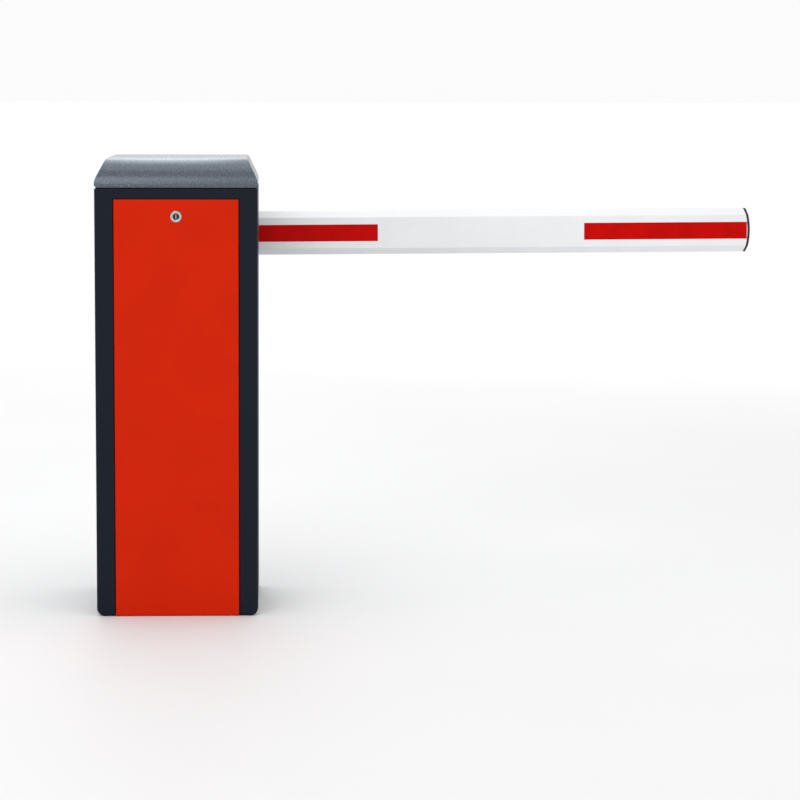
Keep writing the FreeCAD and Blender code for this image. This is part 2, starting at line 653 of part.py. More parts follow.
def mechanism_frame():
    """Add the folded upright that carries the drive, its side flanges welded to the back wall."""
    side = "inner_half - frame_side_gap"
    inside = f"{side} - frame_wall"
    outline = [(f"-({side})", "inner_back"), (f"-({side})", "web_front"), (side, "web_front"),
               (side, "inner_back"), (inside, "inner_back"), (inside, "web_back"),
               (f"-({inside})", "web_back"), (f"-({inside})", "inner_back")]
    fold = sketch_pad("frame_fold", "XY_Plane", outline, "shaft_z + frame_rise - frame_bottom")
    move(fold, z="frame_bottom")
    holes = [rod(f"frame_hole_{index}", "Y", "frame_hole_radius", "web_front - overcut",
                 "web_back + overcut", ("0", level))
             for index, level in enumerate(("shaft_z", "crank_height"), start=1)]
    bolts = bolt_rods("frame_bolt_hole", "bolt_radius", "web_front - overcut", "web_back + overcut")
    return node(cut("mechanism_frame", fold, *holes, *bolts))


def bolt_places(level):
    """Return the four bolt places of a bearing's flange."""
    step = "bearing_bolt_circle * sqrt(0.5)"
    return [(f"{a}{step}", f"{level} {b} {step}") for a in ("-", "") for b in ("-", "+")]


def bolt_rods(name, radius, low, high):
    """Return a rod at each bolt of the front bearing."""
    return [rod(f"{name}_{index}", "Y", radius, low, high, place)
            for index, place in enumerate(bolt_places("shaft_z"), start=1)]


def front_bearing():
    """Add the flanged bearing behind the frame's web."""
    place = ("0", "shaft_z")
    flange = rod("front_bearing_flange", "Y", "bearing_flange_radius", "web_back",
                 "web_back + bearing_flange", place)
    boss = rod("front_bearing_boss", "Y", "bearing_boss_radius", "web_back", "web_back + bearing_length",
               place)
    bore = rod("front_bearing_bore", "Y", "shaft_radius + running_gap", "web_back - overcut",
               "web_back + bearing_length + overcut", place)
    bolts = bolt_rods("front_bearing_hole", "bolt_radius", "web_back - overcut",
                      "web_back + bearing_flange + overcut")
    return node(cut("front_bearing", fuse("front_bearing_outer", flange, boss), bore, *bolts))


def rear_bearing():
    """Add the flanged bearing in the cabinet's back wall."""
    place = ("0", "shaft_z")
    spigot = rod("rear_bearing_spigot", "Y", "bearing_spigot_radius", "inner_back - bearing_flange",
                 "back", place)
    flange = rod("rear_bearing_flange", "Y", "bearing_flange_radius", "back", "back + bearing_flange", place)
    boss = rod("rear_bearing_boss", "Y", "bearing_boss_radius", "back",
               "back + bearing_flange + boss_rise", place)
    bore = rod("rear_bearing_bore", "Y", "shaft_radius + running_gap",
               "inner_back - bearing_flange - overcut",
               "back + bearing_flange + boss_rise + overcut", place)
    return node(cut("rear_bearing", fuse("rear_bearing_outer", spigot, flange, boss), bore))


def drive_bolts():
    """Add the hexagon bolts of both bearings and of the gearbox cover."""
    solids = []
    for index, place in enumerate(bolt_places("shaft_z"), start=1):
        shank = rod(f"front_bolt_shank_{index}", "Y", "bolt_radius", "web_front",
                    "web_back + bearing_flange", place)
        head = hexagon(f"front_bolt_head_{index}", "Y", "bolt_head_width", "web_front - bolt_head_height",
                       "web_front", place)
        nut = hexagon(f"front_bolt_nut_{index}", "Y", "bolt_head_width", "web_back + bearing_flange",
                      "web_back + bearing_flange + bolt_head_height", place)
        solids.append(fuse(f"front_bolt_{index}", shank, head, nut))
        solids.append(hexagon(f"rear_bolt_{index}", "Y", "bolt_head_width", "back + bearing_flange",
                              "back + bearing_flange + rear_head_height", place))
    low = "gearbox_back + gearbox_wall"
    heights = ("gearbox_low_z + gearbox_bolt_inset", "gearbox_high_z - gearbox_bolt_inset")
    sides = ("gearbox_low_x + gearbox_bolt_inset", "gearbox_high_x - gearbox_bolt_inset")
    for row, z in enumerate(heights, start=1):
        for column, x in enumerate(sides, start=1):
            solids.append(hexagon(f"gearbox_bolt_{row}_{column}", "Y", "bolt_head_width", low,
                                  f"{low} + gearbox_head_height", (x, z)))
    return node(group("drive_bolts", *solids))


# Boom shaft and what it carries

def main_shaft():
    """Add the boom's shaft, through both bearings."""
    return node(rod("main_shaft", "Y", "shaft_radius", "rocker_front - hub_overhang - cam_disc - shaft_end",
                    "hub_back", ("0", "shaft_z")))


def lever(name, centre_z, ends, hub_radius, bore_radius):
    """Add a lever in the linkage plane; each end gives its place, its arm's turn and its bore."""
    low = "rocker_front"
    high = "rocker_back"
    parts = [rod(f"{name}_hub", "Y", hub_radius, f"{low} - hub_overhang", f"{high} + hub_overhang",
                 ("0", centre_z))]
    through = (f"{low} - hub_overhang - overcut", f"{high} + hub_overhang + overcut")
    holes = [rod(f"{name}_bore", "Y", bore_radius, *through, ("0", centre_z))]
    for index, (x, z, turn, radius) in enumerate(ends, start=1):
        parts.append(rod(f"{name}_end_{index}", "Y", "arm_half_width", low, high, (x, z)))
        holes.append(rod(f"{name}_hole_{index}", "Y", radius, *through, (x, z)))
        parts.append(bar(f"{name}_bar_{index}", centre_z, turn))
    return node(cut(name, fuse(f"{name}_outer", *parts), *holes))


def bar(name, centre_z, turn):
    """Add a straight arm of a lever, turned down from the boom's direction by an angle."""
    item = DOC.addObject("Part::Box", name)
    bind(item, Length="rocker_radius", Width="arm_thickness", Height="2 * arm_half_width")
    item.Placement = Placement(Vector(), Rotation(Vector(0, 1, 0), 1))
    item.setExpression("Placement.Rotation.Angle", linked(turn))
    move(item, f"-arm_half_width * sin({turn})", "rocker_front", f"{centre_z} - arm_half_width * cos({turn})")
    return item


def rocker_lever():
    """Add the rocker: one arm for the rod, the other for the springs."""
    ends = [("arm_x", "rod_top", "rocker_angle", "rod_pin_radius"),
            ("-(arm_x)", "spring_top", "rocker_angle + 180", "spring_pin_radius")]
    return lever("rocker_lever", "shaft_z", ends, "rocker_hub_radius", "shaft_radius")


def rod_pin(name, place):
    """Return a headed pin that carries an eye of the connecting rod."""
    body = rod(f"{name}_body", "Y", "rod_pin_radius", "rod_pin_front", "rocker_back", place)
    head = rod(f"{name}_head", "Y", "pin_head_radius", "rod_pin_front - pin_head", "rod_pin_front", place)
    return fuse(name, body, head)


def rocker_pins():
    """Add the pins at the rocker's two ends."""
    place = ("-(arm_x)", "spring_top")
    body = rod("spring_pin_body", "Y", "spring_pin_radius", "spring_pin_front", "rocker_back", place)
    head = rod("spring_pin_head", "Y", "spring_head_radius", "spring_pin_front - pin_head",
               "spring_pin_front",
               place)
    return node(group("rocker_pins", rod_pin("rocker_rod_pin", ("arm_x", "rod_top")),
                      fuse("spring_pin", body, head)))


def limit_cam():
    """Add the cam disc that works the limit switches, with a flat for each end of the travel."""
    disc = ring("cam_disc_ring", "Y", "cam_disc_radius", "shaft_radius", "cam_disc_front", "cam_disc_back",
                ("0", "shaft_z"))
    flat = box("cam_disc_flat", ("-(cam_disc_radius)", "cam_disc_radius"),
               ("cam_disc_front - overcut", "cam_disc_back + overcut"),
               ("shaft_z - (cam_disc_radius) - overcut", "shaft_z - cam_flat"))
    return node(cut("limit_cam", disc, flat))


def boom_hub():
    """Add the disc at the shaft's end, which the boom's clamp is fixed to."""
    return node(ring("boom_hub", "Y", "hub_radius", "shaft_radius", "hub_front", "hub_back",
                     ("0", "shaft_z")))


def clamp_plate(name, low, high):
    """Return one plate of the boom's clamp, with its four bolt holes."""
    slab = box(f"{name}_slab", ("-clamp_half_length", "clamp_half_length"), (low, high),
               ("shaft_z - (clamp_half_height)", "shaft_z + clamp_half_height"))
    holes = [rod(f"{name}_hole_{index}", "Y", "clamp_bolt_radius", f"{low} - overcut", f"{high} + overcut",
                 place)
             for index, place in enumerate(clamp_bolt_places(), start=1)]
    return cut(name, slab, *holes)


def clamp_plates():
    """Add the clamp's two plates, one on each broad face of the boom."""
    return node(group("clamp_plates", clamp_plate("clamp_front_plate", "hub_back", "boom_front"),
                      clamp_plate("clamp_back_plate", "boom_back", "clamp_back")))


def clamp_bolt_places():
    """Return the four places of the clamp's bolts, above and below the boom."""
    return [(f"{a}clamp_bolt_x", f"shaft_z {b} (clamp_bolt_z)") for a in ("-", "") for b in ("-", "+")]


def clamp_bolts():
    """Add the clamp's four bolts with their nuts."""
    solids = []
    for index, place in enumerate(clamp_bolt_places(), start=1):
        shank = rod(f"clamp_bolt_shank_{index}", "Y", "clamp_bolt_radius", "hub_back", "clamp_back", place)
        nut = hexagon(f"clamp_bolt_nut_{index}", "Y", "clamp_bolt_head", "clamp_back",
                      "clamp_back + clamp_head_height", place)
        head = hexagon(f"clamp_bolt_head_{index}", "Y", "clamp_bolt_head", "hub_back - clamp_head_height",
                       "hub_back", place)
        solids.append(fuse(f"clamp_bolt_{index}", shank, nut, head))
    return node(group("clamp_bolts", *solids))


def octagon(inset):
    """Return the boom's eight corners, inset by a wall, about its own centre line."""
    across = f"boom_depth / 2 - {inset}"
    up = f"boom_height / 2 - {inset}"
    slant = f"boom_chamfer - {inset} * (2 - sqrt(2))"
    flat = f"{across} - ({slant})"
    tall = f"{up} - ({slant})"
    return [(f"-({flat})", f"-({up})"), (flat, f"-({up})"), (across, f"-({tall})"), (across, tall),
            (flat, up), (f"-({flat})", up), (f"-({across})", tall), (f"-({across})", f"-({tall})")]


def on_boom(item, x, y, z):
    """Bind an object's place and slight rise on the boom; x runs along it and z up from its centre line."""
    item.Placement = Placement(Vector(), Rotation(Vector(0, -1, 0), 1))
    item.setExpression("Placement.Rotation.Angle", linked("boom_rise"))
    sine = "sin(boom_rise)"
    cosine = "cos(boom_rise)"
    move(item, f"({x}) * {cosine} - ({z}) * {sine}", y, f"shaft_z + ({x}) * {sine} + ({z}) * {cosine}")
    return item


def tip_form(name, reach, radius):
    """Return all the space behind the boom's rounded end: up to a broad curve that meets a reach."""
    centre = f"({reach}) - ({radius})"
    curve = rod(f"{name}_curve", "Y", radius, "boom_front - overcut", "boom_back + overcut",
                (f"({centre}) * cos(boom_rise)", f"shaft_z + ({centre}) * sin(boom_rise)"))
    block = DOC.addObject("Part::Box", f"{name}_block")
    bind(block, Length=f"{centre} + 2 * boom_tail", Width="boom_depth + 2 * overcut",
         Height="2 * boom_height")
    on_boom(block, "-2 * boom_tail", "boom_front - overcut", "-boom_height")
    return fuse(name, curve, block)


def boom_tube():
    """Add the boom's hollow eight-sided tube, rounded at its far end."""
    outer = sketch_pad("boom_outer", "YZ_Plane", octagon("0"), "boom_tail + boom_reach")
    inner = sketch_pad("boom_inner", "YZ_Plane", octagon("boom_wall"),
                       "boom_tail + boom_reach + 2 * overcut")
    on_boom(outer, "-boom_tail", "boom_y", "0")
    on_boom(inner, "-boom_tail - overcut", "boom_y", "0")
    form = tip_form("boom_end_form", "boom_reach", "tip_radius")
    return node(cut("boom_tube", common("boom_rounded", outer, form), inner))


def boom_tip_cap():
    """Add the moulded cap of the far end: a curved face that follows the tube, and a plug inside it."""
    face = sketch_pad("tip_cap_face", "YZ_Plane", octagon("0"), "cap_plug + tip_cap")
    on_boom(face, "boom_reach - cap_plug", "boom_y", "0")
    outside = tip_form("tip_cap_form", "boom_reach + tip_cap", "tip_radius + tip_cap")
    shaped = common("tip_cap_shaped", face, outside)
    bowed = cut("tip_cap_bowed", shaped, tip_form("tip_cap_back", "boom_reach", "tip_radius"))
    stem = sketch_pad("tip_cap_stem", "YZ_Plane", octagon("boom_wall"), "cap_plug + overcut")
    on_boom(stem, "boom_reach - cap_plug", "boom_y", "0")
    plug = common("tip_cap_plug", stem, tip_form("tip_plug_form", "boom_reach", "tip_radius"))
    return node(fuse("boom_tip_cap", bowed, plug))


def boom_tail_cap():
    """Add the moulded cap of the near end: a flat face and a plug inside the tube."""
    face = sketch_pad("tail_cap_face", "YZ_Plane", octagon("0"), "tail_cap")
    on_boom(face, "-boom_tail - tail_cap", "boom_y", "0")
    stem = sketch_pad("tail_cap_stem", "YZ_Plane", octagon("boom_wall"), "cap_plug")
    on_boom(stem, "-boom_tail", "boom_y", "0")
    return node(fuse("boom_tail_cap", face, stem))


def reflective_tapes():
    """Add the two red tapes on each broad face of the boom."""
    solids = []
    for row, face in enumerate(("boom_front - tape_thickness", "boom_back"), start=1):
        for column, (start, end) in enumerate((("tape_one_start", "tape_one_end"),
                                               ("tape_two_start", "tape_two_end")), start=1):
            tape = DOC.addObject("Part::Box", f"tape_{row}_{column}")
            bind(tape, Length=f"{end} - {start}", Width="tape_thickness", Height="tape_height")
            solids.append(on_boom(tape, start, face, "-tape_height / 2"))
    return node(group("reflective_tapes", *solids))


# Crank and connecting rod

def crank_arm():
    """Add the crank on the gearbox's output shaft."""
    ends = [("arm_x", "rod_bottom", "rocker_angle", "rod_pin_radius")]
    return lever("crank_arm", "crank_height", ends, "crank_hub_radius", "output_radius")


def crank_pin():
    """Add the crank's pin."""
    return node(rod_pin("crank_pin", ("arm_x", "rod_bottom")))


def output_shaft():
    """Add the gearbox's output shaft, with a thinner journal in the cover."""
    place = ("0", "crank_height")
    step = "gearbox_back - journal_inset"
    thick = rod("output_thick", "Y", "output_radius", "rocker_front - hub_overhang", step, place)
    journal = rod("output_journal", "Y", "journal_radius", step, "gearbox_back + journal_reach", place)
    return node(fuse("output_shaft", thick, journal))


def worm_wheel():
    """Add the worm wheel as its smooth pitch form."""
    return node(ring("worm_wheel", "Y", "wheel_radius - mesh_gap / 2", "output_radius",
                     "worm_y - wheel_width / 2", "worm_y + wheel_width / 2", ("0", "crank_height")))


def rod_ends():
    """Add the two eyes of the connecting rod, each with its threaded shank."""
    ends = []
    for word, place, gap, low, high in (
            ("top", ("arm_x", "rod_top"), "open_gap", "rod_top - rod_end_length - thread_depth",
             "rod_top - eye_radius + eye_root"),
            ("bottom", ("arm_x", "rod_bottom"), "running_gap", "rod_bottom + eye_radius - eye_root",
             "rod_bottom + rod_end_length + thread_depth")):
        eye = rod(f"rod_eye_{word}", "Y", "eye_radius", "rod_front", "rod_back", place)
        shank = rod(f"rod_shank_{word}", "Z", "rod_stud_radius", low, high, ("arm_x", "rod_y"))
        hole = rod(f"rod_eye_hole_{word}", "Y", f"rod_pin_radius + {gap}", "rod_front - overcut",
                   "rod_back + overcut", place)
        ends.append(cut(f"rod_end_{word}", fuse(f"rod_eye_shank_{word}", eye, shank), hole))
    return node(group("rod_ends", *ends))


def connecting_rod():
    """Add the turnbuckle between the rod's two eyes."""
    place = ("arm_x", "rod_y")
    low = "rod_bottom + rod_end_length"
    high = "rod_top - rod_end_length"
    body = hexagon("turnbuckle_body", "Z", "2 * rod_radius", low, high, place)
    top_hole = rod("turnbuckle_top", "Z", "rod_stud_radius", f"{high} - thread_depth", f"{high} + overcut",
                   place)
    bottom_hole = rod("turnbuckle_bottom", "Z", "rod_stud_radius", f"{low} - overcut",
                      f"{low} + thread_depth", place)
    return node(cut("connecting_rod", body, top_hole, bottom_hole))


def rod_lock_nuts():
    """Add the nuts that lock the turnbuckle."""
    place = ("arm_x", "rod_y")
    low = "rod_bottom + rod_end_length"
    high = "rod_top - rod_end_length"
    spans = [(f"{low} - rod_nut_height", low), (high, f"{high} + rod_nut_height")]
    solids = []
    for index, (start, end) in enumerate(spans, start=1):
        nut = hexagon(f"rod_nut_body_{index}", "Z", "rod_nut_width", start, end, place)
        hole = rod(f"rod_nut_hole_{index}", "Z", "rod_stud_radius", f"{start} - overcut",
                   f"{end} + overcut", place)
        solids.append(cut(f"rod_nut_{index}", nut, hole))
    return node(group("rod_lock_nuts", *solids))


# Gearbox and motor

def gearbox_housing():
    """Add the gearbox's cast case, open at the back."""
    outer = box("gearbox_outer", ("gearbox_low_x", "gearbox_high_x"), ("web_back", "gearbox_back"),
                ("gearbox_low_z", "gearbox_high_z"))
    inner = box("gearbox_inner", ("gearbox_low_x + gearbox_wall", "gearbox_high_x - gearbox_wall"),
                ("web_back + gearbox_wall", "gearbox_back + overcut"),
                ("gearbox_low_z + gearbox_wall", "gearbox_high_z - gearbox_wall"))
    output_bore = rod("gearbox_output_bore", "Y", "output_radius + running_gap", "web_back - overcut",
                      "web_back + gearbox_wall + overcut", ("0", "crank_height"))
    worm_bore = rod("gearbox_worm_bore", "Z", "worm_shaft_radius + running_gap", "gearbox_low_z - overcut",
                    "gearbox_high_z + overcut", ("worm_x", "worm_y"))
    return node(cut("gearbox_housing", outer, inner, output_bore, worm_bore))


def gearbox_cover():
    """Add the plate that closes the gearbox."""
    plate = box("gearbox_cover_plate", ("gearbox_low_x", "gearbox_high_x"),
                ("gearbox_back", "gearbox_back + gearbox_wall"), ("gearbox_low_z", "gearbox_high_z"))
    bore = rod("gearbox_cover_bore", "Y", "journal_radius + running_gap", "gearbox_back - overcut",
               "gearbox_back + gearbox_wall + overcut", ("0", "crank_height"))
    return node(cut("gearbox_cover", plate, bore))


def worm_shaft():
    """Add the worm as its smooth pitch form, on the shaft that the motor and the hand wheel share."""
    place = ("worm_x", "worm_y")
    half = "worm_length / 2"
    shaft = rod("worm_core", "Z", "worm_shaft_radius", "handwheel_low", "gearbox_high_z - worm_end_gap",
                place)
    worm = rod("worm_thread", "Z", "worm_radius - mesh_gap / 2", f"crank_height - {half}",
               f"crank_height + {half}", place)
    return node(fuse("worm_shaft", shaft, worm))


def motor_body():
    """Add the motor's hollow barrel, closed at the top."""
    place = ("worm_x", "worm_y")
    outer = rod("motor_outer", "Z", "motor_radius", "motor_low", "gearbox_low_z", place)
    inner = rod("motor_inner", "Z", "motor_radius - motor_wall", "motor_low - overcut",
                "gearbox_low_z - motor_wall", place)
    bore = rod("motor_bore", "Z", "worm_shaft_radius + running_gap", "motor_low - overcut",
               "gearbox_low_z + overcut", place)
    return node(cut("motor_body", outer, inner, bore))


def motor_end_bell():
    """Add the motor's lower end."""
    place = ("worm_x", "worm_y")
    outer = rod("bell_outer", "Z", "motor_radius - bell_step", "bell_low", "motor_low", place)
    bore = rod("bell_bore", "Z", "worm_shaft_radius + running_gap", "bell_low - overcut",
               "motor_low + overcut", place)
    return node(cut("motor_end_bell", outer, bore))


def motor_wiring_box():
    """Add the box on the motor's side where its wires end."""
    low_z = "motor_low + motor_length / 2 - wiring_box_height / 2"
    block = box("wiring_block",
                ("worm_x + motor_radius - wiring_sink", "worm_x + motor_radius + wiring_box_depth"),
                ("worm_y - wiring_box_width / 2", "worm_y + wiring_box_width / 2"),
                (low_z, f"{low_z} + wiring_box_height"))
    barrel = rod("wiring_relief", "Z", "motor_radius", "motor_low", "gearbox_low_z", ("worm_x", "worm_y"))
    return node(cut("motor_wiring_box", block, barrel))


def motor_rotor():
    """Add the rotor inside the motor."""
    low = "motor_low + (motor_length - motor_wall - rotor_length) / 2"
    return node(ring("motor_rotor", "Z", "rotor_radius", "worm_shaft_radius", low, f"{low} + rotor_length",
                     ("worm_x", "worm_y")))


def handwheel():
    """Add the wheel that turns the drive by hand."""
    return node(ring("handwheel", "Z", "handwheel_radius", "worm_shaft_radius", "handwheel_low",
                     "handwheel_high", ("worm_x", "worm_y")))


# Springs, buffers and switches

def spring_bracket():
    """Add the shelf that the springs' tension bolts pass through, folded up at the frame."""
    low_x = "-(arm_x) - bracket_width / 2"
    high_x = "bracket_width / 2 - (arm_x)"
    far = "spring_two - spring_radius"
    shelf = box("bracket_shelf", (low_x, high_x), (far, "web_front"),
                ("bracket_z", "bracket_z + bracket_thickness"))
    upright = box("bracket_upright", (low_x, high_x), ("web_front - bracket_thickness", "web_front"),
                  ("bracket_z", "bracket_z + bracket_rise"))
    holes = [rod(f"bracket_hole_{index}", "Z", "tension_bolt_radius", "bracket_z - overcut",
                 "bracket_z + bracket_thickness + overcut", ("-(arm_x)", y))
             for index, y in enumerate(("spring_one", "spring_two"), start=1)]
    return node(cut("spring_bracket", fuse("bracket_fold", shelf, upright), *holes))


def tension_bolts():
    """Add the eye bolts that set the springs' tension."""
    solids = []
    for index, y in enumerate(("spring_one", "spring_two"), start=1):
        shank = rod(f"tension_shank_{index}", "Z", "tension_bolt_radius", "bracket_z - tension_bolt_tail",
                    "spring_anchor_z - tension_hole_drop", ("-(arm_x)", y))
        eye = rod(f"tension_eye_{index}", "Y", "tension_eye_radius", f"{y} - tension_eye_half",
                  f"{y} + tension_eye_half", ("-(arm_x)", "spring_anchor_z - tension_eye_drop"))
        hole = rod(f"tension_eye_hole_{index}", "Y", "tension_eye_hole",
                   f"{y} - tension_bolt_radius - overcut", f"{y} + tension_bolt_radius + overcut",
                   ("-(arm_x)", "spring_anchor_z - tension_hole_drop"))
        solids.append(cut(f"tension_bolt_{index}", fuse(f"tension_bolt_body_{index}", shank, eye), hole))
    return node(group("tension_bolts", *solids))


def tension_nuts():
    """Add the nuts above and below the spring shelf."""
    solids = []
    for row, (low, word) in enumerate((("bracket_z - tension_nut_height", "under"),
                                       ("bracket_z + bracket_thickness", "over")), start=1):
        for index, y in enumerate(("spring_one", "spring_two"), start=1):
            place = ("-(arm_x)", y)
            nut = hexagon(f"nut_{word}_{index}", "Z", "tension_nut_width", low,
                          f"{low} + tension_nut_height", place)
            hole = rod(f"nut_hole_{word}_{index}", "Z", "tension_bolt_radius", f"{low} - overcut",
                       f"{low} + tension_nut_height + overcut", place)
            solids.append(cut(f"tension_nut_{word}_{index}", nut, hole))
    return node(group("tension_nuts", *solids))


def balance_springs():
    """Add the balance springs as closed tubes with straight ends, one behind the other."""
    solids = []
    for index, y in enumerate(("spring_one", "spring_two"), start=1):
        place = ("-(arm_x)", y)
        coil = ring(f"spring_coil_{index}", "Z", "spring_radius", "spring_radius - spring_wire",
                    "spring_anchor_z + spring_hook", "spring_top - spring_hook", place)
        plates = [rod(f"spring_plate_{index}_{word}", "Z", "spring_radius - spring_wire", low,
                      f"{low} + spring_wire", place)
                  for word, low in (("low", "spring_anchor_z + spring_hook"),
                                    ("high", "spring_top - spring_hook - spring_wire"))]
        low_end = rod(f"spring_low_end_{index}", "Z", "spring_wire / 2", "spring_anchor_z",
                      "spring_anchor_z + spring_hook", place)
        high_end = rod(f"spring_high_end_{index}", "Z", "spring_wire / 2", "spring_top - spring_hook",
                       "spring_top - spring_pin_radius - hook_gap", place)
        solids.append(fuse(f"spring_{index}", coil, *plates, low_end, high_end))
    return node(group("balance_springs", *solids))


def rubber_buffers():
    """Add the two buffers that the rocker's spring arm meets at the ends of its travel."""
    off = "arm_half_width + buffer_radius + buffer_gap"
    places = [(f"sin(rocker_angle) * ({off}) - cos(rocker_angle) * buffer_along",
               f"shaft_z + sin(rocker_angle) * buffer_along + cos(rocker_angle) * ({off})"),
              (f"cos(rocker_angle) * ({off}) - sin(rocker_angle) * buffer_along",
               f"shaft_z - cos(rocker_angle) * buffer_along - sin(rocker_angle) * ({off})")]
    solids = [rod(f"buffer_{index}", "Y", "buffer_radius", "rocker_front + buffer_front_gap", "web_front",
                  place)
              for index, place in enumerate(places, start=1)]
    return node(group("rubber_buffers", *solids))


def switch_bracket():
    """Add the shelf that the limit switches hang from."""
    side = "switch_width + switch_gap"
    return node(box("switch_bracket", (f"-({side})", side), ("switch_front", "web_front"),
                    ("switch_top", "switch_top + switch_plate")))


def limit_switches():
    """Add the two roller switches above the cam disc."""
    solids = []
    offset = "(switch_width / 2 + switch_gap)"
    for index, centre in enumerate((f"-{offset}", offset), start=1):
        body = box(f"switch_body_{index}", (f"{centre} - switch_width / 2", f"{centre} + switch_width / 2"),
                   ("switch_front", "switch_front + switch_depth"), ("switch_bottom", "switch_top"))
        roller = rod(f"switch_roller_{index}", "Y", "roller_radius", "cam_disc_front", "cam_disc_back",
                     (centre, "switch_bottom - roller_radius + roller_bite"))
        solids.append(fuse(f"switch_{index}", body, roller))
    return node(group("limit_switches", *solids))


# Control box

def control_box():
    """Add the control box, open to the front."""
    outer = box("control_outer", ("-(inner_half)", "control_x"), ("control_front", "control_back"),
                ("control_bottom", "control_top"))
    inner = box("control_inner", ("control_wall - inner_half", "control_x - control_wall"),
                ("control_front - overcut", "control_back - control_wall"),
                ("control_bottom + control_wall", "control_top - control_wall"))
    return node(cut("control_box", outer, inner))


def control_lid():
    """Add the control box's lid."""
    return node(box("control_lid", ("-(inner_half)", "control_x"),
                    ("control_front - lid_thickness", "control_front"), ("control_bottom", "control_top")))


def circuit_board():
    """Add the circuit board above the transformer."""
    return node(box("circuit_board",
                    ("control_wall - inner_half + board_margin", "control_x - control_wall - board_margin"),
                    ("board_back - board_thickness", "board_back"),
                    ("transformer_top + board_foot", "control_top - control_wall - board_head")))


def transformer():
    """Add the transformer on the control box's floor."""
    low = "control_wall - inner_half + transformer_margin"
    return node(box("transformer", (low, f"{low} + transformer_width"),
                    ("control_back - control_wall - transformer_depth", "control_back - control_wall"),
                    ("control_bottom + control_wall", "transformer_top")))


def terminal_block():
    """Add the row of terminals on the board's face."""
    back_face = "board_back - board_thickness"
    low = "transformer_top + terminal_foot"
    return node(box("terminal_block",
                    ("control_wall - inner_half + terminal_margin",
                     "control_x - control_wall - terminal_margin"),
                    (f"{back_face} - terminal_depth", back_face), (low, f"{low} + terminal_height")))


BUILDERS = (
    shell_sheets, shell_rim, base_plate, cable_grommet, door_sill, top_cover, cover_gasket, cover_screws,
    mechanism_frame, front_bearing, rear_bearing, drive_bolts, gearbox_housing, gearbox_cover, motor_body,
    motor_end_bell, motor_wiring_box, spring_bracket, tension_bolts, tension_nuts, balance_springs,
    rubber_buffers, switch_bracket, limit_switches, control_box, control_lid, circuit_board, transformer,
    terminal_block, main_shaft, rocker_lever, rocker_pins, limit_cam, boom_hub, clamp_plates, clamp_bolts,
    boom_tube, boom_tip_cap, boom_tail_cap, reflective_tapes, output_shaft, worm_wheel, crank_arm, crank_pin,
    rod_ends, connecting_rod, rod_lock_nuts, worm_shaft, motor_rotor, handwheel, door_panel, door_stiffeners,
    door_hooks, door_seal, lock_housing, lock_barrel, lock_cam,
)


def build():
    """Build every sub-part in turn."""
    for make in BUILDERS:
        make()


def check():
    """Stop if an object failed or a sub-part has no good shape."""
    failed = [item.Name for item in DOC.Objects if {"Invalid", "Error"} & set(item.State)]
    failed += [item.Label for item in NODES if item.Shape.isNull() or not item.Shape.isValid()]
    if failed:
        raise RuntimeError(f"not built: {failed}")


def write():
    """Write each sub-part to a file named after it."""
    os.makedirs("parts", exist_ok=True)
    for item in NODES:
        item.Shape.exportStep(f"parts/{item.Label}.step")


SHEET = write_sizes()
build()
DOC.recompute()
check()
write()
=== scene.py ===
"""Parking barrier gate: a finish for every part of the frame, and finer pieces where the frame is plain.

Metres, in the frame's own axes: +X runs along the lowered boom, +Y from the door to the boom, +Z up.
"""
import json
import logging
import math
from collections.abc import Iterable, Sequence
from dataclasses import dataclass
from enum import Enum

import bmesh
import bpy
from mathutils import Matrix, Vector


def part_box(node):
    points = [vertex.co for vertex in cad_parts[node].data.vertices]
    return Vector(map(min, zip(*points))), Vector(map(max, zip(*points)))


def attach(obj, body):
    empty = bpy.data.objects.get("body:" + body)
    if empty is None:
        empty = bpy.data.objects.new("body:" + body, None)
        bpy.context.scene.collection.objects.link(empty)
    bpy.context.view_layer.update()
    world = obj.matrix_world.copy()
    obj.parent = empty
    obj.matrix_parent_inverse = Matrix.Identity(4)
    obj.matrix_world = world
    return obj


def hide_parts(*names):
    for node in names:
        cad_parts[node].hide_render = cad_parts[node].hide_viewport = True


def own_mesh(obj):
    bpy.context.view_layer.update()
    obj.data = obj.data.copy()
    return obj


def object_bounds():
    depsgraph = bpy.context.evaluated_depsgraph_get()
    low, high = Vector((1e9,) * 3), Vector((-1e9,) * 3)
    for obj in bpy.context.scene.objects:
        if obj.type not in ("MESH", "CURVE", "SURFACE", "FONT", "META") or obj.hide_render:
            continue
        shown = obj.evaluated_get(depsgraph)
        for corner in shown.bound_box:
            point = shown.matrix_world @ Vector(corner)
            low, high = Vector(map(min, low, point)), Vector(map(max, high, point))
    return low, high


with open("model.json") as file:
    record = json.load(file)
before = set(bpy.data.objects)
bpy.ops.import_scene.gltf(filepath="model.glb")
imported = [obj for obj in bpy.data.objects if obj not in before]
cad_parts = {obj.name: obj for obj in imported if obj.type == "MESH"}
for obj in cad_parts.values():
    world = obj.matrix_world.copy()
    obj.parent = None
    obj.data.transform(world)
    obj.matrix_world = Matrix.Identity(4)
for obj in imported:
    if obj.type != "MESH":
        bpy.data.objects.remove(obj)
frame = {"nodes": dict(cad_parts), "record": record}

CAD_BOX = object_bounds()
MM = 0.001
LOG = logging.getLogger("barrier")

Colour = tuple[float, float, float]
Point = tuple[float, float, float]
Outline = tuple[tuple[float, float], ...]


# Shader nodes

MIX_FACTOR, MIX_FIRST, MIX_SECOND, MIX_RESULT = 0, 6, 7, 2


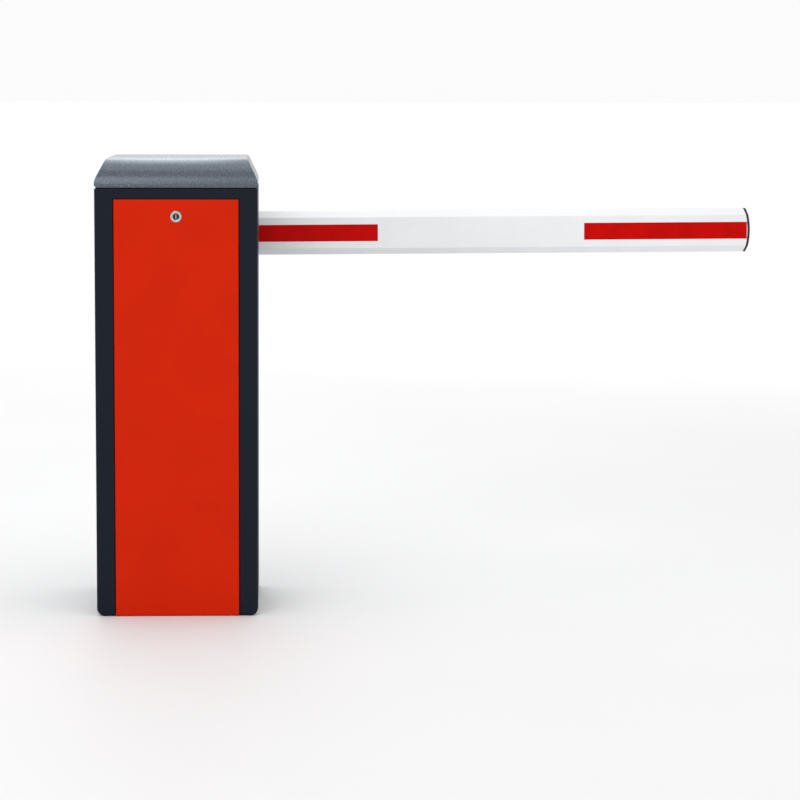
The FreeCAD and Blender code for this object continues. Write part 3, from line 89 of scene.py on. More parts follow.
class Sock:
    """A node's output that takes part in Python arithmetic; each operation adds one Math node."""

    def __init__(self, shader: "Shader", out: bpy.types.NodeSocket) -> None:
        """Wrap an output of a shader's node."""
        self.shader = shader
        self.out = out

    def _math(self, operation: str, *terms: "Sock | float") -> "Sock":
        """Add one Math node.

        Args:
            operation: the node's operation.
            terms: its inputs, in order.

        Returns:
            The node's output.
        """
        return self.shader.node("ShaderNodeMath", {"operation": operation}, dict(enumerate(terms)))

    def __add__(self, other: "Sock | float") -> "Sock":
        """Add."""
        return self._math("ADD", self, other)

    def __radd__(self, other: float) -> "Sock":
        """Add to a number."""
        return self._math("ADD", other, self)

    def __sub__(self, other: "Sock | float") -> "Sock":
        """Subtract."""
        return self._math("SUBTRACT", self, other)

    def __rsub__(self, other: float) -> "Sock":
        """Subtract from a number."""
        return self._math("SUBTRACT", other, self)

    def __mul__(self, other: "Sock | float") -> "Sock":
        """Multiply."""
        return self._math("MULTIPLY", self, other)

    def __truediv__(self, other: "Sock | float") -> "Sock":
        """Divide."""
        return self._math("DIVIDE", self, other)

    def __mod__(self, other: float) -> "Sock":
        """Return the remainder, which is never negative."""
        return self._math("FLOORED_MODULO", self, other)

    def __lt__(self, other: "Sock | float") -> "Sock":
        """Return 1 where this is the smaller."""
        return self._math("LESS_THAN", self, other)

    def __abs__(self) -> "Sock":
        """Return the size without its sign."""
        return self._math("ABSOLUTE", self)

    def most(self, other: "Sock | float") -> "Sock":
        """Return the greater of two."""
        return self._math("MAXIMUM", self, other)

    def step(self, low: float, high: float) -> "Sock":
        """Return a smooth rise from 0 to 1.

        Args:
            low: the value where the rise starts.
            high: the value where it ends.

        Returns:
            The risen value.
        """
        limits = {"Value": self, "From Min": low, "From Max": high}
        return self.shader.node("ShaderNodeMapRange", {"interpolation_type": "SMOOTHSTEP"}, limits)


class Shader:
    """A material in the making, around one Principled shader."""

    def __init__(self, name: str) -> None:
        """Start a material of this name."""
        self.material = bpy.data.materials.new(name)
        self.material.use_nodes = True
        self.tree = self.material.node_tree
        self.surface = self.tree.nodes["Principled BSDF"]
        self._place: Sock | None = None

    def node(self, kind: str, settings: dict | None = None, inputs: dict | None = None,
             output: int | str = 0) -> Sock:
        """Add a node.

        Args:
            kind: the node's type.
            settings: its properties, set first.
            inputs: values or links for its sockets, by name or number.
            output: the output to return.

        Returns:
            The output asked for.
        """
        made = self.tree.nodes.new(kind)
        for name, value in (settings or {}).items():
            setattr(made, name, value)
        for key, value in (inputs or {}).items():
            if isinstance(value, Sock):
                self.tree.links.new(value.out, made.inputs[key])
            else:
                made.inputs[key].default_value = value
        return Sock(self, made.outputs[output])

    @property
    def place(self) -> Sock:
        """Return the Object coordinates."""
        if self._place is None:
            self._place = self.node("ShaderNodeTexCoord", output="Object")
        return self._place

    def axis(self, name: str) -> Sock:
        """Return one of the Object coordinates, in metres."""
        return self.node("ShaderNodeSeparateXYZ", inputs={0: self.place}, output=name)

    def upward(self) -> Sock:
        """Return how far the surface faces up, from -1 to 1."""
        normal = self.node("ShaderNodeNewGeometry", output="Normal")
        return self.node("ShaderNodeSeparateXYZ", inputs={0: normal}, output="Z")

    def noise(self, size: float, detail: float = 2.0, stretch: Point = (1.0, 1.0, 1.0)) -> Sock:
        """Add noise.

        Args:
            size: the width of its swells, in metres.
            detail: the number of finer layers.
            stretch: how much longer the swells are along each axis.

        Returns:
            The noise, mostly between 0.3 and 0.7.
        """
        scale = tuple(1 / along for along in stretch)
        vector = self.node("ShaderNodeMapping", inputs={"Vector": self.place, "Scale": scale})
        return self.node("ShaderNodeTexNoise", inputs={"Vector": vector, "Scale": 1 / size, "Detail": detail})

    def cells(self, size: float, output: str = "Distance", feature: str = "F1") -> Sock:
        """Add a Voronoi pattern.

        Args:
            size: the width of a cell, in metres.
            output: Distance or Color.
            feature: what the distance is measured to.

        Returns:
            The output asked for.
        """
        return self.node("ShaderNodeTexVoronoi", {"feature": feature},
                         {"Vector": self.place, "Scale": 1 / size}, output)

    def blend(self, share: Sock | float, first: Sock | Colour, second: Sock | Colour) -> Sock:
        """Mix two colours.

        Args:
            share: how much of the second shows.
            first: the colour at 0.
            second: the colour at 1.

        Returns:
            The mixed colour.
        """
        ends = [value if isinstance(value, Sock) else (*value, 1.0) for value in (first, second)]
        sockets = {MIX_FACTOR: share, MIX_FIRST: ends[0], MIX_SECOND: ends[1]}
        return self.node("ShaderNodeMix", {"data_type": "RGBA"}, sockets, MIX_RESULT)

    def relief(self, height: Sock) -> Sock:
        """Turn a height in metres into a bumped normal."""
        return self.node("ShaderNodeBump", inputs={"Strength": 1.0, "Distance": 1.0, "Height": height})

    def dress(self, sockets: dict[str, Sock | float | Colour]) -> None:
        """Set the shader's sockets.

        Args:
            sockets: a value or a link for each socket, by name.
        """
        for name, value in sockets.items():
            if isinstance(value, Sock):
                self.tree.links.new(value.out, self.surface.inputs[name])
            elif isinstance(value, tuple):
                self.surface.inputs[name].default_value = (*value, 1.0)
            else:
                self.surface.inputs[name].default_value = value


# Finishes

DUST: Colour = (0.30, 0.28, 0.25)


def shaded(colour: Colour, share: float) -> Colour:
    """Return a colour made lighter or darker by a share."""
    return tuple(min(1.0, part * share) for part in colour)


@dataclass(frozen=True)
class PowderCoat:
    """Baked powder paint: soft swells, a fine grain, a little dust where it faces up, small scuffs, and
    painted sparkle glints.
    """

    colour: Colour
    roughness: float
    swell: float = 3.0 * MM
    relief: float = 0.030 * MM
    grain: float = 0.9 * MM
    specular: float = 0.5
    dust: float = 0.25
    scuff: float = 0.15
    sparkle_glint: float = 0.0
    sparkle_glint_size: float = 1.6 * MM
    sparkle_glint_colour: Colour = (0.30, 0.30, 0.28)
    cloud_size: float = 140 * MM
    scuff_size: float = 5 * MM
    scuff_stretch: Point = (9.0, 9.0, 1.0)
    tint: Colour = (1.0, 1.0, 1.0)

    def paint(self, shader: Shader) -> None:
        """Build the finish on a shader."""
        swell = shader.noise(self.swell, 1.0)
        grain = shader.noise(self.grain, 2.0)
        cloud = shader.noise(self.cloud_size, 3.0)
        dirt = shader.upward().step(0.55, 1.0) * cloud.step(0.30, 0.70) * self.dust
        scratch = shader.noise(self.scuff_size, 2.0, self.scuff_stretch)
        streak = scratch.step(0.66, 0.74) * cloud.step(0.48, 0.62)
        tone = shader.blend(cloud.step(0.25, 0.75), shaded(self.colour, 0.97), shaded(self.colour, 1.03))
        worn = shader.blend(streak * self.scuff, tone, shaded(self.colour, 1.7))
        # Painted glints: pale flecks in the colour stand in for the paint's sparkle catching the light.
        if self.sparkle_glint > 0:
            painted_glint = shader.noise(self.sparkle_glint_size, 2.0).step(0.56, 0.64) * self.sparkle_glint
            worn = shader.blend(painted_glint, worn, self.sparkle_glint_colour)
        shader.dress({
            "Base Color": shader.blend(dirt, worn, DUST),
            "Roughness": self.roughness + (grain - 0.5) * 0.18 + dirt * 0.4 + streak * 0.08,
            "Specular IOR Level": self.specular,
            "Specular Tint": self.tint,
            "Normal": shader.relief(swell * self.relief + grain * (self.relief * 0.35)),
        })


@dataclass(frozen=True)
class Steel:
    """Bare or plated steel: turning marks or draw lines along one axis, stains and a thin haze of oxide."""

    colour: Colour
    roughness: float
    line_size: float = 0.5 * MM
    lines: Point = (1.0, 1.0, 12.0)
    relief: float = 0.010 * MM
    stain: Colour = (0.20, 0.17, 0.13)
    stain_size: float = 18 * MM
    stained: float = 0.25

    def paint(self, shader: Shader) -> None:
        """Build the finish on a shader."""
        line = shader.noise(self.line_size, 2.0, self.lines)
        cloud = shader.noise(self.stain_size, 4.0)
        spot = cloud.step(0.52, 0.74) * self.stained
        tone = shader.blend(line.step(0.3, 0.7), shaded(self.colour, 0.86), shaded(self.colour, 1.10))
        shader.dress({
            "Base Color": shader.blend(spot, tone, self.stain),
            "Metallic": 1.0 - spot * 0.6,
            "Roughness": self.roughness + (line - 0.5) * 0.16 + spot * 0.3,
            "Normal": shader.relief(line * self.relief),
        })


@dataclass(frozen=True)
class Galvanised:
    """Hot-dipped zinc: a spangle of crystals, dull in some and bright in others, with white bloom."""

    colour: Colour
    spangle: float = 11 * MM
    spangle_relief: float = 0.02 * MM
    bloom_size: float = 45 * MM
    bloom_colour: Colour = (0.62, 0.63, 0.62)
    grain: float = 1.2 * MM
    grain_relief: float = 0.012 * MM

    def paint(self, shader: Shader) -> None:
        """Build the finish on a shader."""
        crystal = shader.node("ShaderNodeSeparateColor", inputs={0: shader.cells(self.spangle, "Color")})
        bloom = shader.noise(self.bloom_size, 4.0).step(0.50, 0.72)
        grain = shader.noise(self.grain, 2.0)
        tone = shader.blend(crystal, shaded(self.colour, 0.88), shaded(self.colour, 1.08))
        shader.dress({
            "Base Color": shader.blend(bloom * 0.2, tone, self.bloom_colour),
            "Metallic": 0.85 - bloom * 0.15,
            "Roughness": 0.42 + crystal * 0.10 + bloom * 0.1,
            "Normal": shader.relief(grain * self.grain_relief + crystal * self.spangle_relief),
        })


@dataclass(frozen=True)
class Casting:
    """A sand casting: a coarse skin under paint or bare, darker in its hollows."""

    colour: Colour
    roughness: float = 0.58
    metal: float = 0.3
    sand: float = 1.6 * MM
    relief: float = 0.14 * MM
    oil_size: float = 30 * MM

    def paint(self, shader: Shader) -> None:
        """Build the finish on a shader."""
        skin = shader.noise(self.sand, 4.0)
        oil = shader.noise(self.oil_size, 3.0).step(0.52, 0.72)
        tone = shader.blend(skin.step(0.3, 0.7), shaded(self.colour, 0.72), shaded(self.colour, 1.15))
        shader.dress({
            "Base Color": shader.blend(oil * 0.45, tone, shaded(self.colour, 0.4)),
            "Metallic": self.metal,
            "Roughness": self.roughness - oil * 0.18 + (skin - 0.5) * 0.12,
            "Normal": shader.relief(skin * self.relief),
        })


@dataclass(frozen=True)
class Moulded:
    """Moulded plastic or rubber: a fine even grain with faint flow marks and handling shine."""

    colour: Colour
    roughness: float
    grain: float = 0.5 * MM
    relief: float = 0.018 * MM
    sheen: float = 0.0
    specular: float = 0.3
    flow_size: float = 22 * MM
    flow_stretch: Point = (1.0, 1.0, 3.0)

    def paint(self, shader: Shader) -> None:
        """Build the finish on a shader."""
        grain = shader.noise(self.grain, 2.0)
        flow = shader.noise(self.flow_size, 3.0, self.flow_stretch)
        dust = shader.upward().step(0.6, 1.0) * flow.step(0.35, 0.7) * 0.3
        tone = shader.blend(flow.step(0.3, 0.7), shaded(self.colour, 0.88), shaded(self.colour, 1.12))
        shader.dress({
            "Base Color": shader.blend(dust, tone, DUST),
            "Roughness": self.roughness + (grain - 0.5) * 0.15 + dust * 0.3 - flow.step(0.5, 0.75) * 0.06,
            "Normal": shader.relief(grain * self.relief),
            "Sheen Weight": self.sheen,
            "Specular IOR Level": self.specular,
        })


@dataclass(frozen=True)
class Reflective:
    """Retroreflective sheeting: a honeycomb of sealed cells under a clear glossy film."""

    colour: Colour
    seam: Colour
    cell: float = 3.2 * MM
    cell_relief: float = 0.02 * MM
    cloud_size: float = 60 * MM
    cloud_relief: float = 0.3 * MM
    grime_size: float = 9 * MM

    def paint(self, shader: Shader) -> None:
        """Build the finish on a shader."""
        tall = math.sqrt(3.0)
        across = shader.axis("X") / self.cell
        up = shader.axis("Z") / self.cell
        first = (across % 1.0 - 0.5, up % tall - tall / 2)
        second = ((across - 0.5) % 1.0 - 0.5, (up - tall / 2) % tall - tall / 2)
        near = first[0] * first[0] + first[1] * first[1] < second[0] * second[0] + second[1] * second[1]
        across_cell, up_cell = (abs(a * near + b * (1.0 - near)) for a, b in zip(first, second))
        rim = across_cell.most(across_cell * 0.5 + up_cell * (tall / 2)).step(0.42, 0.50)
        cloud = shader.noise(self.cloud_size, 3.0)
        grime = shader.noise(self.grime_size, 3.0).step(0.58, 0.74)
        tone = shader.blend(cloud.step(0.3, 0.7), shaded(self.colour, 0.90), shaded(self.colour, 1.08))
        clean = shader.blend(rim * 0.35, tone, self.seam)
        shader.dress({
            "Base Color": shader.blend(grime * 0.15, clean, shaded(self.colour, 0.4)),
            "Roughness": 0.32 + grime * 0.2,
            "Specular IOR Level": 0.05,
            "Normal": shader.relief(rim * -self.cell_relief + cloud * self.cloud_relief),
        })


@dataclass(frozen=True)
class Laminated:
    """A stack of thin stampings, seen as fine dark lines across one axis."""

    colour: Colour
    sheet: float = 1.0 * MM
    axis: str = "Z"
    line_depth: float = 0.08 * MM
    varnish_size: float = 12 * MM

    def paint(self, shader: Shader) -> None:
        """Build the finish on a shader."""
        line = abs((shader.axis(self.axis) / self.sheet) % 1.0 - 0.5).step(0.30, 0.48)
        varnish = shader.noise(self.varnish_size, 3.0)
        tone = shader.blend(varnish.step(0.35, 0.7), self.colour, shaded(self.colour, 0.5))
        shader.dress({
            "Base Color": shader.blend(line * 0.8, tone, shaded(self.colour, 0.25)),
            "Metallic": 0.85 - varnish.step(0.4, 0.8) * 0.5,
            "Roughness": 0.36 + varnish * 0.2,
            "Normal": shader.relief(line * -self.line_depth),
        })


@dataclass(frozen=True)
class Board:
    """A circuit board's lacquer: tracks under the green and pads of tin."""

    colour: Colour
    tin: Colour = (0.60, 0.60, 0.58)
    track_spacing: float = 6 * MM
    track_relief: float = 0.03 * MM
    pad_spacing: float = 4.5 * MM
    pad_relief: float = 0.08 * MM

    def paint(self, shader: Shader) -> None:
        """Build the finish on a shader."""
        track = 1.0 - shader.cells(self.track_spacing, feature="DISTANCE_TO_EDGE").step(0.04, 0.10)
        pad = 1.0 - shader.cells(self.pad_spacing).step(0.16, 0.20)
        tone = shader.blend(track * 0.6, self.colour, shaded(self.colour, 2.2))
        shader.dress({
            "Base Color": shader.blend(pad, tone, self.tin),
            "Metallic": pad * 0.9,
            "Roughness": 0.22 + pad * 0.15,
            "Normal": shader.relief(track * self.track_relief + pad * self.pad_relief),
        })


Finish = PowderCoat | Steel | Galvanised | Casting | Moulded | Reflective | Laminated | Board

FINISHES: dict[str, Finish] = {
    "cabinet_paint": PowderCoat((0.0052, 0.0085, 0.0165), 0.40, specular=0.13, dust=0.10),
    # The cover's pale flecks are painted glints of sparkle.
    "cover_paint": PowderCoat((0.042, 0.050, 0.066), 0.24, swell=4.0 * MM, relief=0.045 * MM, grain=1.2 * MM,
                              specular=0.85, dust=0.05, sparkle_glint=0.45, tint=(0.72, 0.85, 1.0)),
    "door_paint": PowderCoat((0.58, 0.0155, 0.0004), 0.36, specular=0.06, dust=0.05, scuff=0.05),
    "boom_paint": PowderCoat((0.77, 0.785, 0.80), 0.34, swell=6.0 * MM, dust=0.12, scuff=0.05),
    "lever_paint": PowderCoat((0.020, 0.020, 0.022), 0.38, scuff=0.35),
    "motor_paint": PowderCoat((0.050, 0.085, 0.140), 0.40, scuff=0.30),
    "reflective_tape": Reflective((0.50, 0.0012, 0.0003), (0.64, 0.006, 0.003)),
    "black_plastic": Moulded((0.012, 0.012, 0.013), 0.42),
    "control_plastic": Moulded((0.40, 0.41, 0.41), 0.50),
    "lid_plastic": Moulded((0.48, 0.49, 0.49), 0.44),
    "terminal_plastic": Moulded((0.02, 0.20, 0.05), 0.36),
    "handwheel_plastic": Moulded((0.36, 0.010, 0.006), 0.34),
    "rubber": Moulded((0.014, 0.014, 0.014), 0.72, grain=0.9 * MM, relief=0.05 * MM, sheen=0.1),
    "foam_seal": Moulded((0.010, 0.010, 0.011), 0.90, grain=0.7 * MM, relief=0.14 * MM, sheen=0.2),
    "lock_chrome": Steel((0.50, 0.50, 0.52), 0.14, relief=0.002 * MM, stained=0.05),
    "dark_steel": Steel((0.035, 0.035, 0.04), 0.26, relief=0.004 * MM, stained=0.10),
    "zinc_steel": Steel((0.62, 0.62, 0.58), 0.30, stained=0.15),
    "shaft_steel": Steel((0.52, 0.52, 0.53), 0.22, lines=(12.0, 1.0, 12.0), stained=0.12),
    "spring_steel": Steel((0.13, 0.13, 0.14), 0.34, lines=(6.0, 6.0, 1.0), stained=0.30),
    "wheel_bronze": Steel((0.60, 0.38, 0.16), 0.34, stained=0.30),
    "galvanised_sheet": Galvanised((0.50, 0.51, 0.52)),
    "gear_casting": Casting((0.20, 0.21, 0.22)),
    "bearing_casting": Casting((0.16, 0.16, 0.17), roughness=0.46, metal=0.7),
    "rotor_steel": Laminated((0.34, 0.34, 0.35)),
    "transformer_core": Laminated((0.28, 0.25, 0.20), sheet=1.2 * MM, axis="Y"),
    "board_green": Board((0.010, 0.10, 0.035)),
}
MATERIALS: dict[str, bpy.types.Material] = {}


def material_for(slot: str) -> bpy.types.Material:
    """Return the material of a slot of the record, built the first time."""
    if slot not in MATERIALS:
        shader = Shader(f"finish_{slot}")
        FINISHES[slot].paint(shader)
        MATERIALS[slot] = shader.material
    return MATERIALS[slot]


# Meshes

FINE_SIDES = 96
SMALL_SIDES = 24
WIRE_SIDES = 10
RING_STEPS = 40


class Axis(Enum):
    """The way a turned form stands."""

    X = (0.0, math.pi / 2)
    Y = (-math.pi / 2, 0.0)
    Z = (0.0, 0.0)

    def turn(self) -> Matrix:
        """Return the turn from the form's own upright axis."""
        tip, swing = self.value
        return Matrix.Rotation(swing, 4, "Y") @ Matrix.Rotation(tip, 4, "X")


class Form:
    """A mesh in the making, shaped by bmesh operators in the frame's axes."""

    SHARP = math.radians(35)
    FLAT = math.radians(0.3)
    WELD = MM / 100

    def __init__(self) -> None:
        """Start an empty form."""
        self.mesh = bmesh.new()

    def _place(self, old: set[bmesh.types.BMVert], axis: Axis, at: Point) -> list[bmesh.types.BMVert]:
        """Merge, turn and move what was added.

        Args:
            old: the vertices that were there before.
            axis: the way the addition stands.
            at: where its own origin goes.

        Returns:
            The added vertices.
        """
        bmesh.ops.remove_doubles(self.mesh, verts=self.since(old), dist=self.WELD / 10)
        added = self.since(old)
        bmesh.ops.transform(self.mesh, matrix=Matrix.Translation(at) @ axis.turn(), verts=added)
        return added

    def since(self, old: set[bmesh.types.BMVert]) -> list[bmesh.types.BMVert]:
        """Return the vertices that have been added since an earlier set was taken."""
        return [vert for vert in self.mesh.verts if vert not in old]

    def edges(self, verts: Iterable[bmesh.types.BMVert]) -> list[bmesh.types.BMEdge]:
        """Return the edges between some vertices."""
        chosen = set(verts)
        return [edge for edge in self.mesh.edges if chosen.issuperset(edge.verts)]

    def round(self, edges: Iterable[bmesh.types.BMEdge], width: float, segments: int = 3) -> None:
        """Round edges.

        Args:
            edges: the edges.
            width: how far the rounding reaches from each.
            segments: the faces across it.
        """
        bmesh.ops.bevel(self.mesh, geom=list(edges), offset=width, offset_type="OFFSET", segments=segments,
                        profile=0.5, affect="EDGES", clamp_overlap=True, material=-1)

    def copy(self, node: str, rounding: float, segments: int = 2) -> "Form":
        """Add a node's own shape, merged, with its sharp edges rounded.

        Args:
            node: the node's name.
            rounding: the width of the rounding.
            segments: the faces across it.

        Returns:
            This form.
        """
        self.mesh.from_mesh(frame["nodes"][node].data)
        bmesh.ops.remove_doubles(self.mesh, verts=self.mesh.verts, dist=self.WELD)
        bmesh.ops.dissolve_limit(self.mesh, angle_limit=self.FLAT, verts=self.mesh.verts,
                                 edges=self.mesh.edges, use_dissolve_boundaries=False)
        sharp = [edge for edge in self.mesh.edges
                 if edge.is_manifold and edge.calc_face_angle(0.0) > self.SHARP]
        self.round(sharp, rounding, segments)
        return self

    def block(self, low: Point, high: Point, rounding: float = 0.0, segments: int = 3) -> "Form":
        """Add a box.

        Args:
            low: its lowest corner.
            high: its highest corner.
            rounding: the width of the rounding of its edges.
            segments: the faces across the rounding.

        Returns:
            This form.
        """
        low_corner, high_corner = Vector(low), Vector(high)
        place = (Matrix.Translation((low_corner + high_corner) / 2)
                 @ Matrix.Diagonal((*(high_corner - low_corner), 1.0)))
        verts = bmesh.ops.create_cube(self.mesh, size=1.0, matrix=place)["verts"]
        if rounding > 0:
            self.round(self.edges(verts), rounding, segments)
        return self

    def turned(self, profile: Sequence[tuple[float, float]], axis: Axis, at: Point,
               sides: int = 64) -> "Form":
        """Add a turned form.

        Args:
            profile: pairs of radius and height; it closes on itself unless both ends lie on the axis.
            axis: the way the form stands.
            at: where the foot of its axis is.
            sides: the number of faces round it.

        Returns:
            This form.
        """
        old = set(self.mesh.verts)
        verts = [self.mesh.verts.new((radius, 0.0, height)) for radius, height in profile]
        edges = [self.mesh.edges.new(pair) for pair in zip(verts, verts[1:])]
        if profile[0][0] > 0 or profile[-1][0] > 0:
            edges.append(self.mesh.edges.new((verts[-1], verts[0])))
        bmesh.ops.spin(self.mesh, geom=verts + edges, cent=(0, 0, 0), axis=(0, 0, 1), dvec=(0, 0, 0),
                       angle=2 * math.pi, steps=sides, use_merge=True, use_duplicate=False)
        self._place(old, axis, at)
        return self

    def prism(self, sides: int, radius: float, length: float, axis: Axis, at: Point, rounding: float = 0.0,
              lobe: float = 0.0, lobes: int = 0) -> "Form":
        """Add a prism, whose sides may swell in and out as lobes.

        Args:
            sides: the number of its sides.
            radius: the distance of its corners from its axis.
            length: its length.
            axis: the way it stands.
            at: where the foot of its axis is.
            rounding: the width of the rounding of its ends' edges.
            lobe: how far the lobes stand in from the radius.
            lobes: the number of lobes.

        Returns:
            This form.
        """
        old = set(self.mesh.verts)
        made = bmesh.ops.create_circle(self.mesh, cap_ends=True, segments=sides, radius=radius)["verts"]
        for vert in made if lobes else ():
            angle = math.atan2(vert.co.y, vert.co.x)
            vert.co *= 1 - lobe / radius * (0.5 - 0.5 * math.cos(lobes * angle))
        foot = next(iter(made[0].link_faces))
        risen = bmesh.ops.extrude_face_region(self.mesh, geom=[foot], use_keep_orig=True)["geom"]
        tops = [item for item in risen if isinstance(item, bmesh.types.BMVert)]
        bmesh.ops.translate(self.mesh, vec=(0, 0, length), verts=tops)
        added = self._place(old, axis, at)
        if rounding > 0:
            upright = axis.turn().to_3x3() @ Vector((0, 0, 1))
            ends = [edge for edge in self.edges(added)
                    if abs(upright.dot(edge.verts[0].co - edge.verts[1].co)) < self.WELD]
            self.round(ends, rounding, 2)
        return self

    def coil(self, wire: float, radius: float, turns: int, length: float, axis: Axis, at: Point,
             sides: int = 20) -> "Form":
        """Add a coil of round wire.

        Args:
            wire: the wire's radius.
            radius: the coil's radius to the middle of the wire.
            turns: the number of turns.
            length: the coil's length, or 0 for a closed ring.
            axis: the coil's axis.
            at: the foot of its axis.
            sides: the number of steps in a turn.

        Returns:
            This form.
        """
        old = set(self.mesh.verts)
        place = Matrix.Translation((radius, 0, 0)) @ Matrix.Rotation(math.pi / 2, 4, "X")
        verts = bmesh.ops.create_circle(self.mesh, cap_ends=False, segments=WIRE_SIDES, radius=wire,
                                        matrix=place)["verts"]
        pitch = length / turns
        bmesh.ops.spin(self.mesh, geom=verts + self.edges(verts), cent=(0, 0, 0), axis=(0, 0, 1),
                       dvec=(0, 0, pitch / sides), angle=2 * math.pi, steps=sides,
                       use_merge=length == 0, use_duplicate=False)
        turn = self.since(old)
        within = set(turn)
        faces = [face for face in self.mesh.faces if within.issuperset(face.verts)]
        for number in range(1, turns):
            copied = bmesh.ops.duplicate(self.mesh, geom=turn + self.edges(turn) + faces)["geom"]
            moved = [item for item in copied if isinstance(item, bmesh.types.BMVert)]
            bmesh.ops.translate(self.mesh, vec=(0, 0, pitch * number), verts=moved)
        added = self._place(old, axis, at)
        rims = [edge for edge in self.edges(added) if edge.is_boundary]
        if rims:
            bmesh.ops.holes_fill(self.mesh, edges=rims, sides=0)
        return self

    def finish(self, name: str, body: str, slot: str, *replaced: str) -> bpy.types.Object:
        """Make the form a piece of the model.

        Args:
            name: the piece's name.
            body: the body that it rides on.
            slot: the record's material slot that it takes its finish from.
            replaced: the nodes that it stands for.

        Returns:
            The piece.
        """
        bmesh.ops.recalc_face_normals(self.mesh, faces=self.mesh.faces)
        for face in self.mesh.faces:
            face.smooth = True
        for edge in self.mesh.edges:
            edge.smooth = edge.is_manifold and edge.calc_face_angle(0.0) < self.SHARP
        data = bpy.data.meshes.new(name)
        self.mesh.to_mesh(data)
        self.mesh.free()
        if "custom_normal" in data.attributes:
            data.attributes.remove(data.attributes["custom_normal"])
        data.materials.append(material_for(slot))
        for face in data.polygons:
            face.material_index = 0
        piece = bpy.data.objects.new(name, data)
        bpy.context.scene.collection.objects.link(piece)
        even = piece.modifiers.new("even_normals", "WEIGHTED_NORMAL")
        even.keep_sharp = True
        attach(piece, body)
        if replaced:
            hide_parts(*replaced)
        LOG.info("%s: %d faces on %s", name, len(data.polygons), body)
        return piece


def middle(node: str) -> Vector:
    """Return the centre of a node's box."""
    low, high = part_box(node)
    return (low + high) / 2


def radius_of(node: str) -> float:
    """Return half a node's width along X, the radius of a node that is round."""
    low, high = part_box(node)
    return (high.x - low.x) / 2


# Sub-assemblies

@dataclass
class Cabinet:
    """The cabinet's cover and the small fittings on and in it."""

    cover_rounding: float = 1.2 * MM
    flange_step: float = 2.0 * MM
    flange_thickness: float = 6.0 * MM
    spigot_share: float = 0.60
    boss_share: float = 0.65
    bore_lead: float = 1.2 * MM
    nipple_radius: float = 3.0 * MM
    nipple_height: float = 7.0 * MM
    nipple_back: float = 3.0 * MM
    nipple_sink: float = 1.0 * MM
    nipple_profile: Outline = ((0.0, 0.0), (1.0, 0.0), (1.0, 0.5), (0.5, 0.65), (0.6, 0.9), (0.0, 1.0))

    def build(self) -> None:
        """Build the pieces that ride on the cabinet."""
        cover = Form().copy("top_cover", self.cover_rounding, 3)
        cover.finish("cover_skin", "cabinet", "cover_paint", "top_cover")
        self.bearing()

    def bearing(self) -> None:
        """Build the bearing on the back wall, with its stepped flange and grease nipple."""
        low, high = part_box("rear_bearing")
        centre = middle("rear_bearing")
        bore = radius_of("main_shaft")
        radius = radius_of("rear_bearing")
        length = high.y - low.y
        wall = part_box("back_panel")[1].y - low.y
        flange = wall + self.flange_thickness
        spigot = radius * self.spigot_share
        boss = radius * self.boss_share
        step, edge, lead = self.flange_step, self.flange_step / 2, self.bore_lead
        profile = [(bore, 0.0), (spigot, 0.0), (spigot, wall), (radius - edge / 2, wall),
                   (radius, wall + edge / 2), (radius, flange - edge), (radius - edge, flange),
                   (boss + step, flange), (boss, flange + edge), (boss, length - edge), (boss - edge, length),
                   (bore + lead, length), (bore, length - lead)]
        form = Form().turned(profile, Axis.Y, (centre.x, low.y, centre.z), FINE_SIDES)
        nipple = [(self.nipple_radius * out, self.nipple_height * up) for out, up in self.nipple_profile]
        form.turned(nipple, Axis.Z, (centre.x, low.y + wall + self.nipple_back, high.z - self.nipple_sink),
                    SMALL_SIDES)
        form.finish("wall_bearing", "cabinet", "bearing_casting", "rear_bearing")


@dataclass
class DoorLock:
    """The cam lock: a chrome ring and body, its barrel, and the wafers seen in the key slot."""

    rim: float = 0.9 * MM
    face_step: float = 0.6 * MM
    ring_radius: float = 12.5 * MM
    body_radius: float = 10.0 * MM
    body_edge: float = 1.0 * MM
    bore_gap: float = 0.05 * MM
    nut_width: float = 26.0 * MM
    nut_thickness: float = 5.0 * MM
    nut_edge: float = 0.6 * MM
    sheet_thickness: float = 1.5 * MM
    core_rounding: float = 0.25 * MM
    wafer_width: float = 1.5 * MM
    wafer_height: float = 7.6 * MM
    wafer_depth: float = 0.9 * MM
    wafer_length: float = 3.0 * MM
    wafer_edge: float = 0.3 * MM

    def build(self) -> None:
        """Build the lock's pieces."""
        self.housing()
        self.barrel()

    def housing(self) -> None:
        """Build the ring, the body and the nut behind the sheet."""
        low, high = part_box("lock_housing")
        centre = middle("lock_housing")
        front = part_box("door_panel")[0].y
        sheet = front - low.y
        length = high.y - low.y
        bore = radius_of("lock_barrel") + self.bore_gap
        rim, ring, body = self.rim, self.ring_radius, self.body_radius
        profile = [(bore, self.face_step), (bore + rim, 0.0), (ring - rim * 1.6, 0.0),
                   (ring - rim * 0.5, rim * 0.4), (ring, rim * 1.3), (ring, sheet), (body, sheet),
                   (body, length - self.body_edge), (body - self.body_edge, length), (bore, length)]
        form = Form().turned(profile, Axis.Y, (centre.x, low.y, centre.z), FINE_SIDES)
        form.prism(6, self.nut_width / math.sqrt(3), self.nut_thickness, Axis.Y,
                   (centre.x, front + self.sheet_thickness, centre.z), self.nut_edge)
        form.finish("lock_ring", "door", "lock_chrome", "lock_housing")

    def barrel(self) -> None:
        """Build the barrel with softened edges, and the bright wafers in its slot."""
        core = Form().copy("lock_barrel", self.core_rounding)
        core.finish("lock_core", "lock", "dark_steel", "lock_barrel")
        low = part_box("lock_barrel")[0]
        centre = middle("lock_barrel")
        front = low.y + self.wafer_depth
        half = Vector((self.wafer_width / 2, 0.0, self.wafer_height / 2))
        start = Vector((centre.x, front, centre.z)) - half
        end = Vector((centre.x, front + self.wafer_length, centre.z)) + half
        Form().block(start, end, self.wafer_edge).finish("key_wafers", "lock", "zinc_steel")


